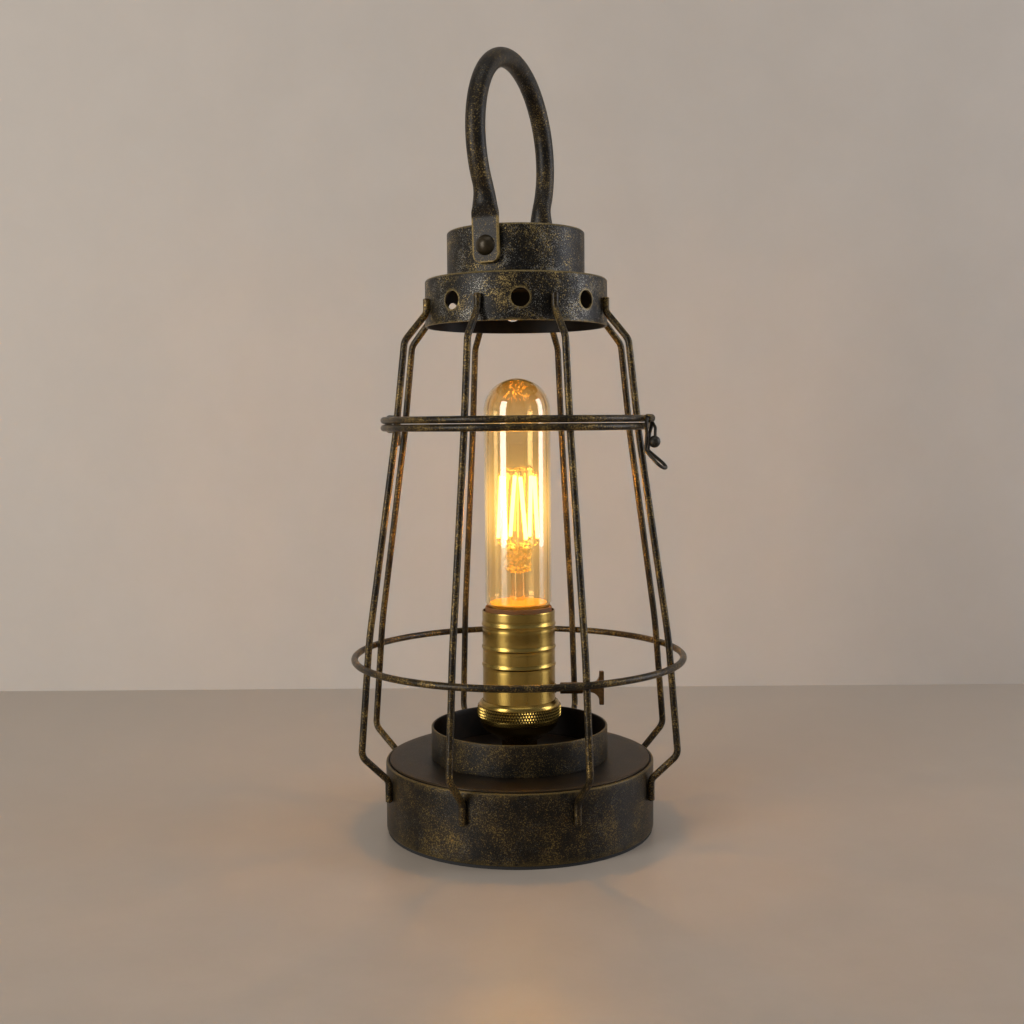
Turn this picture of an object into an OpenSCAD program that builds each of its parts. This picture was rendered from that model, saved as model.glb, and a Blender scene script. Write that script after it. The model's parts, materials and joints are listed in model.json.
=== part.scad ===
// Lantern table lamp: a drum base, a hinged wire cage, a bail handle and a
// bare tubular bulb in a brass lamp holder.
// Millimetres, +Z up, origin on the table under the middle of the base.
// A compass angle is measured from the front, -Y, towards the right, +X.

/* [Base] */
// Outside diameter of the base drum
base_d = 140.4; // [120:0.2:150]
// Height of the base drum's wall
base_h = 35.2; // [30:0.2:44]
// Sheet thickness of the drum and its bottom plate
base_wall = 1.2; // [0.8:0.1:2]
// Thickness of the top plate
plate_t = 1.4; // [1:0.1:2]
// Thickness of the foam foot ring
foot_t = 1.6; // [1:0.1:4]
// Outside diameter of the open collar round the lamp holder
collar_d = 92.6; // [80:0.2:104]
// Height of the collar above the top plate
collar_h = 16.4; // [10:0.2:22]
// Sheet thickness of the collar
collar_wall = 1.2; // [0.8:0.1:2]
// Bore of the cord bushing in the rear wall
cord_bore_d = 6.6; // [5:0.1:8]
// Height of the cord bushing's axis
cord_z = 15; // [12:0.5:20]

/* [Cage] */
// Diameter of the wire of ribs, hoop and rim rings
wire_d = 3.5; // [2.5:0.1:4.5]
// How far the lower ribs' knee, their widest point, stands out from the drum
knee_out = 15.7; // [10:0.1:20]
// Height of the knee above the base drum
knee_rise = 8.7; // [8:0.1:14]
// Radius of the lower ribs at mid height
waist_r = 81; // [78:0.1:84]
// Height of that point
waist_z = 103.8; // [98:0.2:120]
// Height of the hoop round the lower ribs
hoop_z = 90.6; // [80:0.2:95]
// Radius of the ribs where the cage parts
rim_rib_r = 65; // [60:0.1:70]
// Height of the lower rim ring
rim_z = 210; // [190:0.5:230]
// Daylight between the two rim rings
rim_gap = 0.4; // [0.3:0.1:1]
// Radius of the upper ribs at their shoulder
shoulder_r = 60.4; // [56:0.1:64]
// Height of the shoulder above the lower rim ring
shoulder_rise = 43.3; // [38:0.1:48]

/* [Cap] */
// Outside diameter of the vent band
band_d = 93.6; // [84:0.2:100]
// Height of the vent band
band_h = 24; // [20:0.2:30]
// Height of the band's lower edge above the lower rim ring
band_rise = 51.3; // [48:0.1:60]
// Diameter of the vent holes
vent_d = 9.2; // [6:0.1:11]
// Height of the vent holes above the band's lower edge
vent_rise = 11; // [9:0.1:13]
// Turn of the vent holes from the middle between two ribs
vent_turn = 2.5; // [-4:0.5:4]
// Outside diameter of the crown
crown_d = 70.6; // [60:0.2:80]
// Height of the crown
crown_h = 24.2; // [20:0.2:30]
// Sheet thickness of the vent band and the crown
cap_wall = 1.2; // [0.8:0.1:2]

/* [Handle] */
// Diameter of the bail's round bar
bail_d = 9.8; // [7:0.1:12]
// Radius of the bail's loop, to the middle of the bar
loop_r = 45; // [40:0.5:50]
// Height of the loop's centre above the rivets
loop_rise = 52.9; // [45:0.1:60]
// Radius of the reverse bend above each strap
foot_bend_r = 18; // [12:0.5:24]
// Width of the flattened ends
strap_w = 14; // [11:0.1:16]
// Thickness of the flattened ends
strap_t = 2.4; // [1.8:0.1:4]
// Compass angle of the front rivet
bail_angle = -23; // [-45:1:45]
// Lean of the bail from upright at rest
bail_lean = 1.5; // [0:0.5:8]
// Diameter of the rivet shanks
rivet_d = 4.8; // [4:0.1:6]
// Diameter of the rivets' domed heads
rivet_head_d = 10; // [8:0.1:12]
// Height of the rivets above the crown's foot
rivet_rise = 13.2; // [11:0.1:15]

/* [Rim hinge and latch] */
// Compass angle of the hinge strap
hinge_angle = -105.5; // [-106.5:0.5:-95]
// Length of the hinge strap along the rim
hinge_w = 8.5; // [6:0.1:10]
// Sheet thickness of the hinge strap
hinge_t = 0.8; // [0.6:0.1:1.2]
// Clearance of the rim wires in the hinge strap
hinge_clear = 0.25; // [0.2:0.05:0.5]
// Compass angle of the latch
latch_angle = 64; // [55:1:80]
// Wire diameter of the latch
latch_wire_d = 2; // [1.6:0.1:2.4]
// Outside diameter of the barrel that carries the latch
barrel_d = 4.2; // [4:0.1:5]
// Length of that barrel
barrel_len = 5; // [4:0.1:7]
// Inward lean of the hanging latch
latch_lean = 5; // [3:0.5:6]
// Diameter of the ball weight
ball_d = 6; // [4:0.1:7]

/* [Lamp holder] */
// Outside diameter of the brass shell
shell_d = 38; // [36:0.1:42]
// Length of the brass shell
shell_len = 55.9; // [52:0.1:64]
// How far the knurled ring stands out from the shell
ring_out = 3; // [2:0.1:5]
// Height of the holder's cap, from the seat nut to the ring
cup_h = 13; // [11:0.1:16]
// Height of the switch axis above the lower end of the shell
switch_rise = 14.1; // [13:0.1:16]
// Distance of the key's outer face from the lamp's axis
key_reach = 44.6; // [40:0.1:50]
// Height of the key's cross bar
key_h = 17.8; // [12:0.1:22]
// Thickness of the key
key_t = 3.2; // [2:0.1:4]

/* [Bulb] */
// Outside diameter of the bulb's glass
glass_d = 34.6; // [30:0.1:36]
// Length of the glass above its neck
glass_len = 122; // [100:1:125]
// Wall thickness of the glass
glass_wall = 0.9; // [0.6:0.1:1.2]
// Diameter of the bulb's screw cap
screw_cap_d = 26.2; // [26:0.1:26.4]
// Number of filament sticks
filament_count = 6; // [4:1:8]
// Length of a filament stick
filament_len = 36; // [25:1:45]

/* [Hidden] */
$fn = 96;
wire_fn = 24;
bronze = [0.25, 0.22, 0.18];
bronze_dark = [0.14, 0.13, 0.12];
brass = [0.72, 0.60, 0.32];
steel = [0.62, 0.62, 0.60];
rubber = [0.06, 0.06, 0.06];
phenolic = [0.33, 0.16, 0.09];
amber_glass = [0.95, 0.72, 0.42, 0.35];
lit = [1.0, 0.80, 0.35];

// Gaps: two pieces welded or screwed face to face, and a piece that turns.
weld_gap = 0.05;
turn_gap = 0.1;
hair = 0.02;
lap = 0.1;
side_gap = 0.3;

// Base
base_r = base_d / 2;
drum_z = foot_t;
drum_top = drum_z + base_h;
drum_in_r = base_r - base_wall;
bead_r = 0.9;
plate_seat_z = drum_top - 0.6;
plate_top = plate_seat_z + plate_t;
plate_r = base_r - 2 * bead_r - 0.3;
plate_seat_r = plate_r - 5;
bottom_lip_r = base_r - 16;
bottom_screw_r = bottom_lip_r + 5.8;
bottom_screw_d = 2.9;
foot_in_r = bottom_screw_r + 3.8;
foot_out_r = base_r - 0.6;
bottom_plate_z = drum_z + base_wall + weld_gap;
bushing_d = cord_bore_d + 3.4;
bushing_flange_d = bushing_d + 5;
bushing_in = 6;
bushing_out = 2.2;
collar_r = collar_d / 2;

// Lamp holder, from the table upwards
tube_d = 9.8;
tube_bore_d = 7.2;
tube_hole_d = tube_d + 0.4;
nut_flats = 14;
nut_h = 3.5;
seat_flats = 16;
seat_nut_z = plate_top + weld_gap;
seat_nut_h = 7.4;
cup_z = seat_nut_z + seat_nut_h + weld_gap;
cup_top = cup_z + cup_h;
cup_r = shell_d / 2 + 1.6;
shell_r = shell_d / 2;
shell_wall = 0.6;
shell_z = cup_top + 0.5;
shell_top = shell_z + shell_len;
bead_falls = [7, 19.1, 28.4];
ring_z = cup_top + weld_gap;
ring_r = shell_r + ring_out;
knurl_foot = 1;
knurl_h = 5.5;
ring_h = 9.2;
liner_wall = 1.1;
liner_r = shell_r - shell_wall - weld_gap;
liner_z = shell_z + 6;
liner_lip_r = shell_r - 1.6;
liner_lip_h = 2.1;
liner_step_z = shell_top - 1.2;
holder_r = liner_r - liner_wall - 0.2;
screw_r = screw_cap_d / 2;
screw_shell_in_r = screw_r + 0.3;
screw_shell_t = 0.5;
screw_shell_z = shell_z + 30;
screw_shell_top = shell_top - 2.5;
holder_z = shell_z + 5.5;
holder_top = screw_shell_top - 2;
contact_well_z = screw_shell_z - 4.4;
switch_z = shell_z + switch_rise;
stem_d = 3.6;
stem_in_x = 9.5;
stem_out_x = shell_r + 2.5;
bush_d = 5;
bush_out_x = shell_r + 0.5;
sleeve_d = 6;
sleeve_out_x = key_reach - 11.1;

// Bulb
tip_z = screw_shell_z - 1.7;
tip_h = 1.8;
insulator_h = 2.4;
cap_z = tip_z + tip_h + insulator_h;
cap_len = 21;
glass_r = glass_d / 2;
neck_r = screw_r - 0.7;
neck_z = cap_z + 9;
glass_z = cap_z + cap_len + 1.2;
glass_top = glass_z + glass_len;
flare_h = 6;
stem_top = glass_z + 35;
filament_z = stem_top + 2;
filament_d = 1.9;
filament_low_r = 10.4;
filament_high_r = 9.2;
filament_first = -66;
filament_twist = -16;
foot_bead_r = 7.3;
skirt_r = glass_r - 2.3;

// Cage
wire_r = wire_d / 2;
seat_off = wire_d + weld_gap;
rib_step = 45;
first_rib = 22.5;
tail_r = base_r + wire_r + weld_gap;
tail_z = drum_top - 16.3;
tail_knee_z = drum_top - 5.3;
knee_r = base_r + knee_out;
knee_z = drum_top + knee_rise;
rib_end = 1.2;
rib_slope = (waist_r - rim_rib_r) / (rim_z + rib_end - waist_z);
hoop_slope = (waist_r - knee_r) / (waist_z - knee_z);
waist_turn = atan(rib_slope) + atan(hoop_slope);
waist_bend = min(250, (waist_z - hoop_z - 2) / tan(abs(waist_turn) / 2));
rim_r = rim_rib_r + rib_slope * rib_end + seat_off / cos(atan(rib_slope));
upper_rim_z = rim_z + wire_d + rim_gap;
band_z = rim_z + band_rise;
shoulder_z = rim_z + shoulder_rise;
band_r = band_d / 2;
cap_tail_r = band_r + wire_r + weld_gap;
cap_tail_z = band_z + 6;
cap_tail_top = band_z + 13.2;
lower_path = [[tail_r, tail_z], [tail_r, tail_knee_z], [knee_r, knee_z],
              [waist_r, waist_z], [rim_rib_r, rim_z + rib_end]];
lower_bends = [0, 5, 7, waist_bend, 0];
upper_path = [[rim_rib_r, upper_rim_z - rib_end], [shoulder_r, shoulder_z],
              [cap_tail_r, cap_tail_z], [cap_tail_r, cap_tail_top]];
upper_bends = [0, 8, 5, 0];
hoop_r = knee_r + hoop_slope * (hoop_z - knee_z) + seat_off / cos(atan(hoop_slope));

// Cap
band_top = band_z + band_h;
shelf_in_r = crown_d / 2 - 4.5;
corner_r = 1.6;
crown_r = crown_d / 2;
crown_z = band_top + weld_gap;
crown_top = crown_z + crown_h;

// Handle, measured from the rivets' axis
pivot_z = crown_z + rivet_rise;
strap_in_r = crown_r + side_gap;
strap_mid_r = strap_in_r + strap_t / 2;
strap_out_r = strap_in_r + strap_t;
foot_angle = acos((strap_mid_r + foot_bend_r) / (loop_r + foot_bend_r));
foot_rise = loop_rise - (loop_r + foot_bend_r) * sin(foot_angle);
neck_rise = foot_rise + foot_bend_r * sin(foot_angle);
strap_rise = crown_top - pivot_z + 1.6;
thin_rise = strap_rise + 8;
strap_drop = 8.6;
strap_corner_r = 4.5;
foot_steps = 24;

// Rim hinge and latch
strap_hole_r = wire_r + hinge_clear;
strap_skin_r = strap_hole_r + hinge_t;
barrel_rho = rim_r + wire_r + weld_gap + barrel_d / 2;
latch_half = barrel_len / 2 + side_gap + latch_wire_d / 2;
latch_waist = 1.9;
kink_fall = 16;
finger_len = 12.8;
finger_half = 3.1;
finger_tilt = 53;
ball_fall = 11.3;
ball_off = sqrt(pow((ball_d + latch_wire_d) / 2 + weld_gap, 2) - pow(latch_waist, 2));
neck_d = 1.5;
neck_off = (latch_wire_d + neck_d) / 2 + weld_gap;

// ---- helpers ----

// Turns a piece drawn outwards along +X to a compass angle.
module at(angle) {
    rotate([0, 0, angle - 90]) children();
}

// Stands a drawing in the XY plane up into the XZ plane.
module upright() {
    rotate([90, 0, 0]) children();
}

// Points along an arc, for a profile.
function arc(centre, r, from, to, steps) =
    [for (i = [0:steps]) let (a = from + (to - from) * i / steps) centre + r * [cos(a), sin(a)]];

function unit(v) = v / norm(v);
function way(path, i) = unit(path[i + 1] - path[i]);
function swing(a, b) = atan2(a.x * b.y - a.y * b.x, a * b);
function setback(path, bends, i) =
    i == 0 || i == len(path) - 1 ? 0 : bends[i] * tan(abs(swing(way(path, i - 1), way(path, i))) / 2);

// A straight bar between two points of a plane.
module bar(from, to, d) {
    run = to - from;
    translate([from.x, from.y, 0]) rotate([0, 0, atan2(run.y, run.x)]) rotate([0, 90, 0])
        cylinder(h = norm(run), d = d, $fn = wire_fn);
}

// The round bend of a wire at a corner of its path.
module bend(corner, a, b, r, d) {
    turn = swing(a, b);
    start = corner - a * r * tan(abs(turn) / 2);
    centre = start + sign(turn) * r * [-a.y, a.x];
    first = atan2(start.y - centre.y, start.x - centre.x);
    translate([centre.x, centre.y, 0]) rotate([0, 0, turn > 0 ? first : first + turn])
        rotate_extrude(angle = abs(turn)) translate([r, 0]) circle(d = d, $fn = wire_fn);
}

// A wire bent along a path in a plane; a bend of 0 is a plain mitre with a ball in it.
// The straights run a little way into the bends, which are a hair thicker.
module bent_wire(path, bends, d) {
    last = len(path) - 1;
    for (i = [0:last - 1])
        bar(path[i] + way(path, i) * (setback(path, bends, i) - (i == 0 ? 0 : lap)),
            path[i + 1] - way(path, i) * (setback(path, bends, i + 1) - (i == last - 1 ? 0 : lap)), d);
    for (i = [1:last - 1])
        if (bends[i] > 0)
            bend(path[i], way(path, i - 1), way(path, i), bends[i], d + hair);
        else
            translate([path[i].x, path[i].y, 0]) sphere(d = d + hair, $fn = wire_fn);
}

module wire_ring(r, z) {
    translate([0, 0, z]) rotate_extrude() translate([r, 0]) circle(d = wire_d, $fn = wire_fn);
}

module tube(r_out, r_in, z, h) {
    translate([0, 0, z]) difference() {
        cylinder(h = h, r = r_out);
        translate([0, 0, -1]) cylinder(h = h + 2, r = r_in);
    }
}

module hexagon_nut(flats, bore_d, z, h) {
    translate([0, 0, z]) difference() {
        cylinder(h = h, d = flats / cos(30), $fn = 6);
        translate([0, 0, -1]) cylinder(h = h + 2, d = bore_d);
    }
}

// A cylinder from x = from to x = to, along +X.
module along_x(from, to, d) {
    translate([from, 0, 0]) rotate([0, 90, 0]) cylinder(h = to - from, d = d);
}

// ---- base ----

module base_drum() {
    color(bronze) difference() {
        rotate_extrude() {
            translate([drum_in_r, drum_z]) square([base_wall, base_h - bead_r]);
            translate([bottom_lip_r, drum_z]) square([base_r - bottom_lip_r, base_wall]);
            translate([plate_seat_r, plate_seat_z - base_wall])
                square([base_r - plate_seat_r - 0.3, base_wall]);
            translate([base_r - bead_r, drum_top - bead_r]) circle(r = bead_r, $fn = wire_fn);
        }
        bottom_screw_holes();
        translate([0, base_r - 8, cord_z]) rotate([-90, 0, 0]) cylinder(h = 12, d = bushing_d + 0.2);
    }
}

module bottom_screw_holes() {
    for (a = [45:90:315])
        at(a) translate([bottom_screw_r, 0, 0]) cylinder(h = 8, d = bottom_screw_d + 0.3, $fn = wire_fn);
}

module base_top_plate() {
    edge = 0.6;
    profile = concat([[tube_hole_d / 2, 0], [plate_r, 0]],
                     arc([plate_r - edge, plate_t - edge], edge, 0, 90, 6),
                     [[tube_hole_d / 2, plate_t]]);
    color(bronze) translate([0, 0, plate_seat_z + weld_gap])
        rotate_extrude() polygon([for (p = profile) [p.x, min(p.y, plate_t - weld_gap)]]);
}

module base_collar() {
    lip = 0.8;
    color(bronze) translate([0, 0, plate_top]) rotate_extrude() {
        translate([collar_r - collar_wall, weld_gap]) square([collar_wall, collar_h - lip - weld_gap]);
        translate([collar_r - lip, collar_h - lip]) circle(r = lip, $fn = wire_fn);
    }
}

module base_bottom_plate() {
    color(bronze_dark) difference() {
        translate([0, 0, bottom_plate_z]) cylinder(h = base_wall, r = drum_in_r - 2.5);
        bottom_screw_holes();
    }
}

module bottom_screws() {
    head_h = 1.3;
    color(steel) for (a = [45:90:315])
        at(a) translate([bottom_screw_r, 0, drum_z - weld_gap]) {
            translate([0, 0, -head_h]) cylinder(h = head_h, d = 5.2, $fn = wire_fn);
            cylinder(h = 6, d = bottom_screw_d, $fn = wire_fn);
        }
}

module foot_ring() {
    color(rubber) tube(foot_out_r, foot_in_r, 0, foot_t - weld_gap);
}

module cord_bushing() {
    color(rubber) difference() {
        union() {
            translate([0, base_r - bushing_in, cord_z]) rotate([-90, 0, 0])
                cylinder(h = bushing_in + bushing_out, d = bushing_d);
            difference() {
                translate([0, base_r - 3, cord_z]) rotate([-90, 0, 0])
                    cylinder(h = 3 + bushing_out, d = bushing_flange_d);
                cylinder(h = 40, r = base_r + weld_gap);
            }
            intersection() {
                translate([0, base_r - bushing_in + 1, cord_z]) rotate([-90, 0, 0])
                    cylinder(h = bushing_in, d = bushing_d + 2.6);
                cylinder(h = 40, r = drum_in_r - weld_gap);
            }
        }
        translate([0, base_r - 10, cord_z]) rotate([-90, 0, 0]) cylinder(h = 16, d = cord_bore_d);
    }
}

// ---- lamp holder ----

module threaded_tube() {
    color(steel) tube(tube_d / 2, tube_bore_d / 2, plate_seat_z - 9, cup_z + 5 - plate_seat_z + 9);
}

module tube_nut() {
    color(steel)
        hexagon_nut(nut_flats, tube_d + 0.2, plate_seat_z - weld_gap - nut_h, nut_h);
}

module seat_nut() {
    color(brass) hexagon_nut(seat_flats, tube_d + 0.2, seat_nut_z, seat_nut_h);
}

module socket_cap() {
    wall = 0.9;
    shoulder = 4.5;
    cone = 54.5;
    hub_r = 8.6;
    shoulder_h = cup_h - 2.1;
    outer = concat([[tube_d / 2 + 0.1, 0], [hub_r, 0]],
                   arc([cup_r - shoulder, shoulder_h], shoulder, -cone, 0, 8), [[cup_r, cup_h]]);
    inner = concat([[cup_r - wall, cup_h]],
                   arc([cup_r - shoulder, shoulder_h], shoulder - wall, 0, -cone, 8),
                   [[hub_r - wall / 2, wall + 0.4], [tube_d / 2 + 0.1, wall + 0.4]]);
    color(brass) translate([0, 0, cup_z]) rotate_extrude() polygon(concat(outer, inner));
}

module knurled_ring() {
    bore_r = shell_r + 0.15;
    edge = 0.3;
    curve_r = 2.6;
    step_r = ring_r - 0.9;
    knurl_top = knurl_foot + knurl_h;
    profile = concat([[bore_r, 0], [step_r, 0], [step_r, knurl_foot - edge],
                      [ring_r - edge, knurl_foot - edge], [ring_r, knurl_foot],
                      [ring_r, knurl_top - edge], [ring_r - edge, knurl_top], [step_r, knurl_top]],
                     arc([step_r - curve_r, knurl_top + 0.1], curve_r, 0, 68, 7),
                     [[bore_r, ring_h]]);
    color(brass) translate([0, 0, ring_z]) rotate_extrude() polygon(profile);
}

module socket_shell() {
    bead = 1.3;
    proud = 0.55;
    color(brass) difference() {
        rotate_extrude() {
            translate([shell_r - shell_wall, shell_z]) square([shell_wall, shell_len]);
            for (fall = bead_falls)
                intersection() {
                    translate([shell_r + proud - bead, shell_top - fall]) circle(r = bead, $fn = wire_fn);
                    translate([shell_r - shell_wall, shell_z]) square([shell_wall + bead, shell_len]);
                }
        }
        translate([0, 0, switch_z]) along_x(shell_r - 6, shell_r + 4, bush_d + 0.3);
    }
}

module socket_liner() {
    edge = 0.4;
    in_r = liner_r - liner_wall;
    lip_in_r = liner_lip_r - liner_wall;
    lip_top = shell_top + liner_lip_h;
    profile = [[in_r, liner_z], [liner_r, liner_z], [liner_r, liner_step_z],
               [liner_lip_r, liner_step_z], [liner_lip_r, lip_top - edge],
               [liner_lip_r - edge, lip_top], [lip_in_r, lip_top],
               [lip_in_r, liner_step_z - liner_wall], [in_r, liner_step_z - liner_wall]];
    color(phenolic) difference() {
        rotate_extrude() polygon(profile);
        translate([0, 0, switch_z]) along_x(shell_r - 6, shell_r + 4, bush_d + 0.3);
    }
}

module socket_body() {
    color(phenolic) difference() {
        translate([0, 0, holder_z]) cylinder(h = holder_top - holder_z, r = holder_r);
        translate([0, 0, screw_shell_z - weld_gap])
            cylinder(h = 40, r = screw_shell_in_r + screw_shell_t + weld_gap);
        translate([0, 0, contact_well_z]) cylinder(h = 10, r = 6.5);
        translate([0, 0, switch_z]) along_x(stem_in_x - 0.5, holder_r + 5, stem_d + 0.3);
        translate([0, 0, switch_z]) along_x(holder_r - 2.4, holder_r + 5, bush_d + 0.3);
        terminal_holes();
    }
}

module terminal_holes() {
    for (side = [-1, 1])
        translate([0, side * 9, holder_z - 1]) cylinder(h = 6, d = 3.1, $fn = wire_fn);
}

module terminal_screws() {
    color(brass) for (side = [-1, 1])
        translate([0, side * 9, holder_z - 1.6 - weld_gap]) {
            cylinder(h = 1.6, d = 5.6, $fn = wire_fn);
            cylinder(h = 6, d = 2.9, $fn = wire_fn);
        }
}

module screw_shell() {
    color(brass) rotate_extrude() {
        translate([screw_shell_in_r, screw_shell_z])
            square([screw_shell_t, screw_shell_top - screw_shell_z]);
        translate([9, screw_shell_z]) square([screw_shell_in_r - 8.5, screw_shell_t]);
    }
}

module centre_contact() {
    color(brass) translate([0, 0, contact_well_z + weld_gap]) {
        cylinder(h = 1.4, r = 5);
        cylinder(h = tip_z - contact_well_z - weld_gap - 0.15, r = 2.2);
    }
}

module switch_bushing() {
    color(bronze) translate([0, 0, switch_z]) difference() {
        along_x(holder_r - 2.2, bush_out_x, bush_d);
        along_x(0, shell_r + 10, stem_d + 2 * turn_gap);
    }
}

module switch_stem() {
    color(bronze) translate([0, 0, switch_z]) along_x(stem_in_x, stem_out_x, stem_d);
}

// The key: a round sleeve on the stem, a flat blade, and a cross bar that the blade flares into.
module switch_key() {
    bar_t = 2.5;
    edge = 0.4;
    blade_half = 2.2;
    flare_r = key_h / 2 - blade_half - 1.8;
    bar_x = key_reach - bar_t;
    half = concat([[sleeve_out_x - 0.5, -blade_half]],
                  arc([bar_x - flare_r, -blade_half - flare_r], flare_r, 90, 0, 10),
                  [[bar_x, edge - key_h / 2], [bar_x + edge, -key_h / 2],
                   [key_reach - edge, -key_h / 2], [key_reach, edge - key_h / 2]]);
    outline = concat(half, [for (i = [len(half) - 1:-1:0]) [half[i].x, -half[i].y]]);
    color(bronze) translate([0, 0, switch_z]) {
        rotate([90, 0, 0]) translate([0, 0, -key_t / 2]) linear_extrude(key_t) polygon(outline);
        along_x(stem_out_x + weld_gap, sleeve_out_x, sleeve_d);
    }
}

// ---- bulb ----

module bulb_contact() {
    color(steel) translate([0, 0, tip_z]) cylinder(h = tip_h, r1 = 3.6, r2 = 4.6, $fn = 48);
}

module bulb_insulator() {
    color(rubber) translate([0, 0, tip_z + tip_h + weld_gap])
        cylinder(h = insulator_h - 2 * weld_gap, r1 = 5.2, r2 = screw_r - 0.3, $fn = 48);
}

module bulb_screw_cap() {
    color(brass) tube(screw_r, screw_r - 0.5, cap_z, cap_len);
}

// The glass outline, from the neck up; inset moves it inwards.
function glass_outline(inset) = concat(
    [[neck_r - inset, neck_z], [neck_r - inset, glass_z]],
    [for (i = [1:8]) let (u = i / 8)
        [neck_r - inset + (glass_r - neck_r) * (1 - cos(180 * u)) / 2, glass_z + flare_h * u]],
    arc([0, glass_top - glass_r], glass_r - inset, 0, 90, 24));

module bulb_glass() {
    outer = glass_outline(0);
    inner = glass_outline(glass_wall);
    color(amber_glass) rotate_extrude()
        polygon(concat(outer, [for (i = [len(inner) - 1:-1:0]) [max(inner[i].x, 0), inner[i].y]]));
}

// The glass foot inside the bulb: a plug in the neck, a skirt over the shoulder, a slim tube
// and the thick bead that holds the filaments' wires.
module bulb_stem() {
    seat_r = neck_r - glass_wall - weld_gap;
    tube_r = 3.6;
    skirt_z = glass_z + flare_h - 1;
    bead_z = stem_top - 14.5;
    color(amber_glass) rotate_extrude()
        polygon([[0, neck_z], [seat_r, neck_z], [seat_r, neck_z + 1.5], [tube_r, neck_z + 12],
                 [tube_r, skirt_z - 2], [skirt_r, skirt_z], [skirt_r, skirt_z + 0.6],
                 [tube_r, skirt_z + 1.5], [tube_r, bead_z - 2], [foot_bead_r, bead_z],
                 [foot_bead_r, stem_top - 1.2], [foot_bead_r - 1.2, stem_top], [0, stem_top]]);
}

// One filament stick, leaning round the bulb's axis.
module filament_stick(turn, d, z, len) {
    low = [filament_low_r * cos(turn), filament_low_r * sin(turn), z];
    high_turn = turn + filament_twist;
    high = [filament_high_r * cos(high_turn), filament_high_r * sin(high_turn), z + len];
    rod(low, high, d);
}

// A round rod between two points in space.
module rod(from, to, d) {
    run = to - from;
    translate(from) rotate([0, acos(run.z / norm(run)), atan2(run.y, run.x)])
        cylinder(h = norm(run), d = d, $fn = wire_fn);
}

module filaments() {
    color(lit) for (i = [0:filament_count - 1])
        filament_stick(filament_first + i * 360 / filament_count, filament_d, filament_z,
                       filament_len);
}

module filament_frame() {
    hoop_d = 0.8;
    spoke_d = 0.6;
    high_z = filament_z + filament_len + hoop_d / 2 + 0.2;
    low_z = filament_z - hoop_d / 2 - 0.2;
    color(steel) {
        translate([0, 0, low_z]) rotate_extrude()
            translate([filament_low_r, 0]) circle(d = hoop_d, $fn = wire_fn);
        translate([0, 0, high_z]) rotate_extrude()
            translate([filament_high_r, 0]) circle(d = hoop_d, $fn = wire_fn);
        for (a = [0, 180]) rotate([0, 0, a]) {
            rod([0, 0, low_z + 0.3], [filament_low_r, 0, low_z], spoke_d);
            rod([0, 0, high_z + 3], [filament_high_r, 0, high_z], spoke_d);
        }
        translate([0, 0, stem_top + weld_gap])
            cylinder(h = high_z + 3.3 - stem_top, d = 1.2, $fn = wire_fn);
    }
}

// ---- lower cage ----

module lower_rib(i) {
    color(bronze) at(first_rib + rib_step * (i - 1)) upright()
        bent_wire(lower_path, lower_bends, wire_d);
}

module lower_hoop() {
    color(bronze) wire_ring(hoop_r, hoop_z);
}

module lower_rim_ring() {
    color(bronze) wire_ring(rim_r, rim_z);
}

// The outline of the folded strap round both rim wires.
module strap_outline(r) {
    circle(r = r, $fn = 48);
    translate([0, upper_rim_z - rim_z]) circle(r = r, $fn = 48);
    translate([-r, 0]) square([2 * r, upper_rim_z - rim_z]);
}

module hinge_strap() {
    tail_len = 9.6;
    color(bronze_dark) at(hinge_angle) translate([rim_r, hinge_w / 2, rim_z]) upright() {
        linear_extrude(hinge_w) difference() {
            union() {
                strap_outline(strap_skin_r);
                translate([-strap_skin_r, -tail_len]) square([hinge_t, tail_len]);
            }
            strap_outline(strap_hole_r);
        }
    }
}

// ---- lid ----

module upper_rim_ring() {
    color(bronze) wire_ring(rim_r, upper_rim_z);
}

module upper_rib(i) {
    color(bronze) at(first_rib + rib_step * (i - 1)) upright()
        bent_wire(upper_path, upper_bends, wire_d);
}

module vent_band() {
    in_r = band_r - cap_wall;
    profile = concat([[in_r, 0], [band_r, 0]],
                     arc([band_r - corner_r, band_h - corner_r], corner_r, 0, 90, 6),
                     [[shelf_in_r, band_h], [shelf_in_r, band_h - cap_wall],
                      [in_r, band_h - cap_wall]]);
    color(bronze) translate([0, 0, band_z]) difference() {
        rotate_extrude() polygon(profile);
        for (i = [0:7])
            at(vent_turn + i * rib_step) translate([0, 0, vent_rise])
                along_x(band_r - 8, band_r + 4, vent_d);
    }
}

module crown() {
    in_r = crown_r - cap_wall;
    profile = concat([[in_r, 0], [crown_r, 0]],
                     arc([crown_r - corner_r, crown_h - corner_r], corner_r, 0, 90, 6),
                     [[0, crown_h], [0, crown_h - cap_wall], [in_r, crown_h - cap_wall]]);
    color(bronze) difference() {
        translate([0, 0, crown_z]) rotate_extrude() polygon(profile);
        at(bail_angle) translate([0, 0, pivot_z]) along_x(-crown_r - 5, crown_r + 5, rivet_d + 0.2);
    }
}

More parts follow.
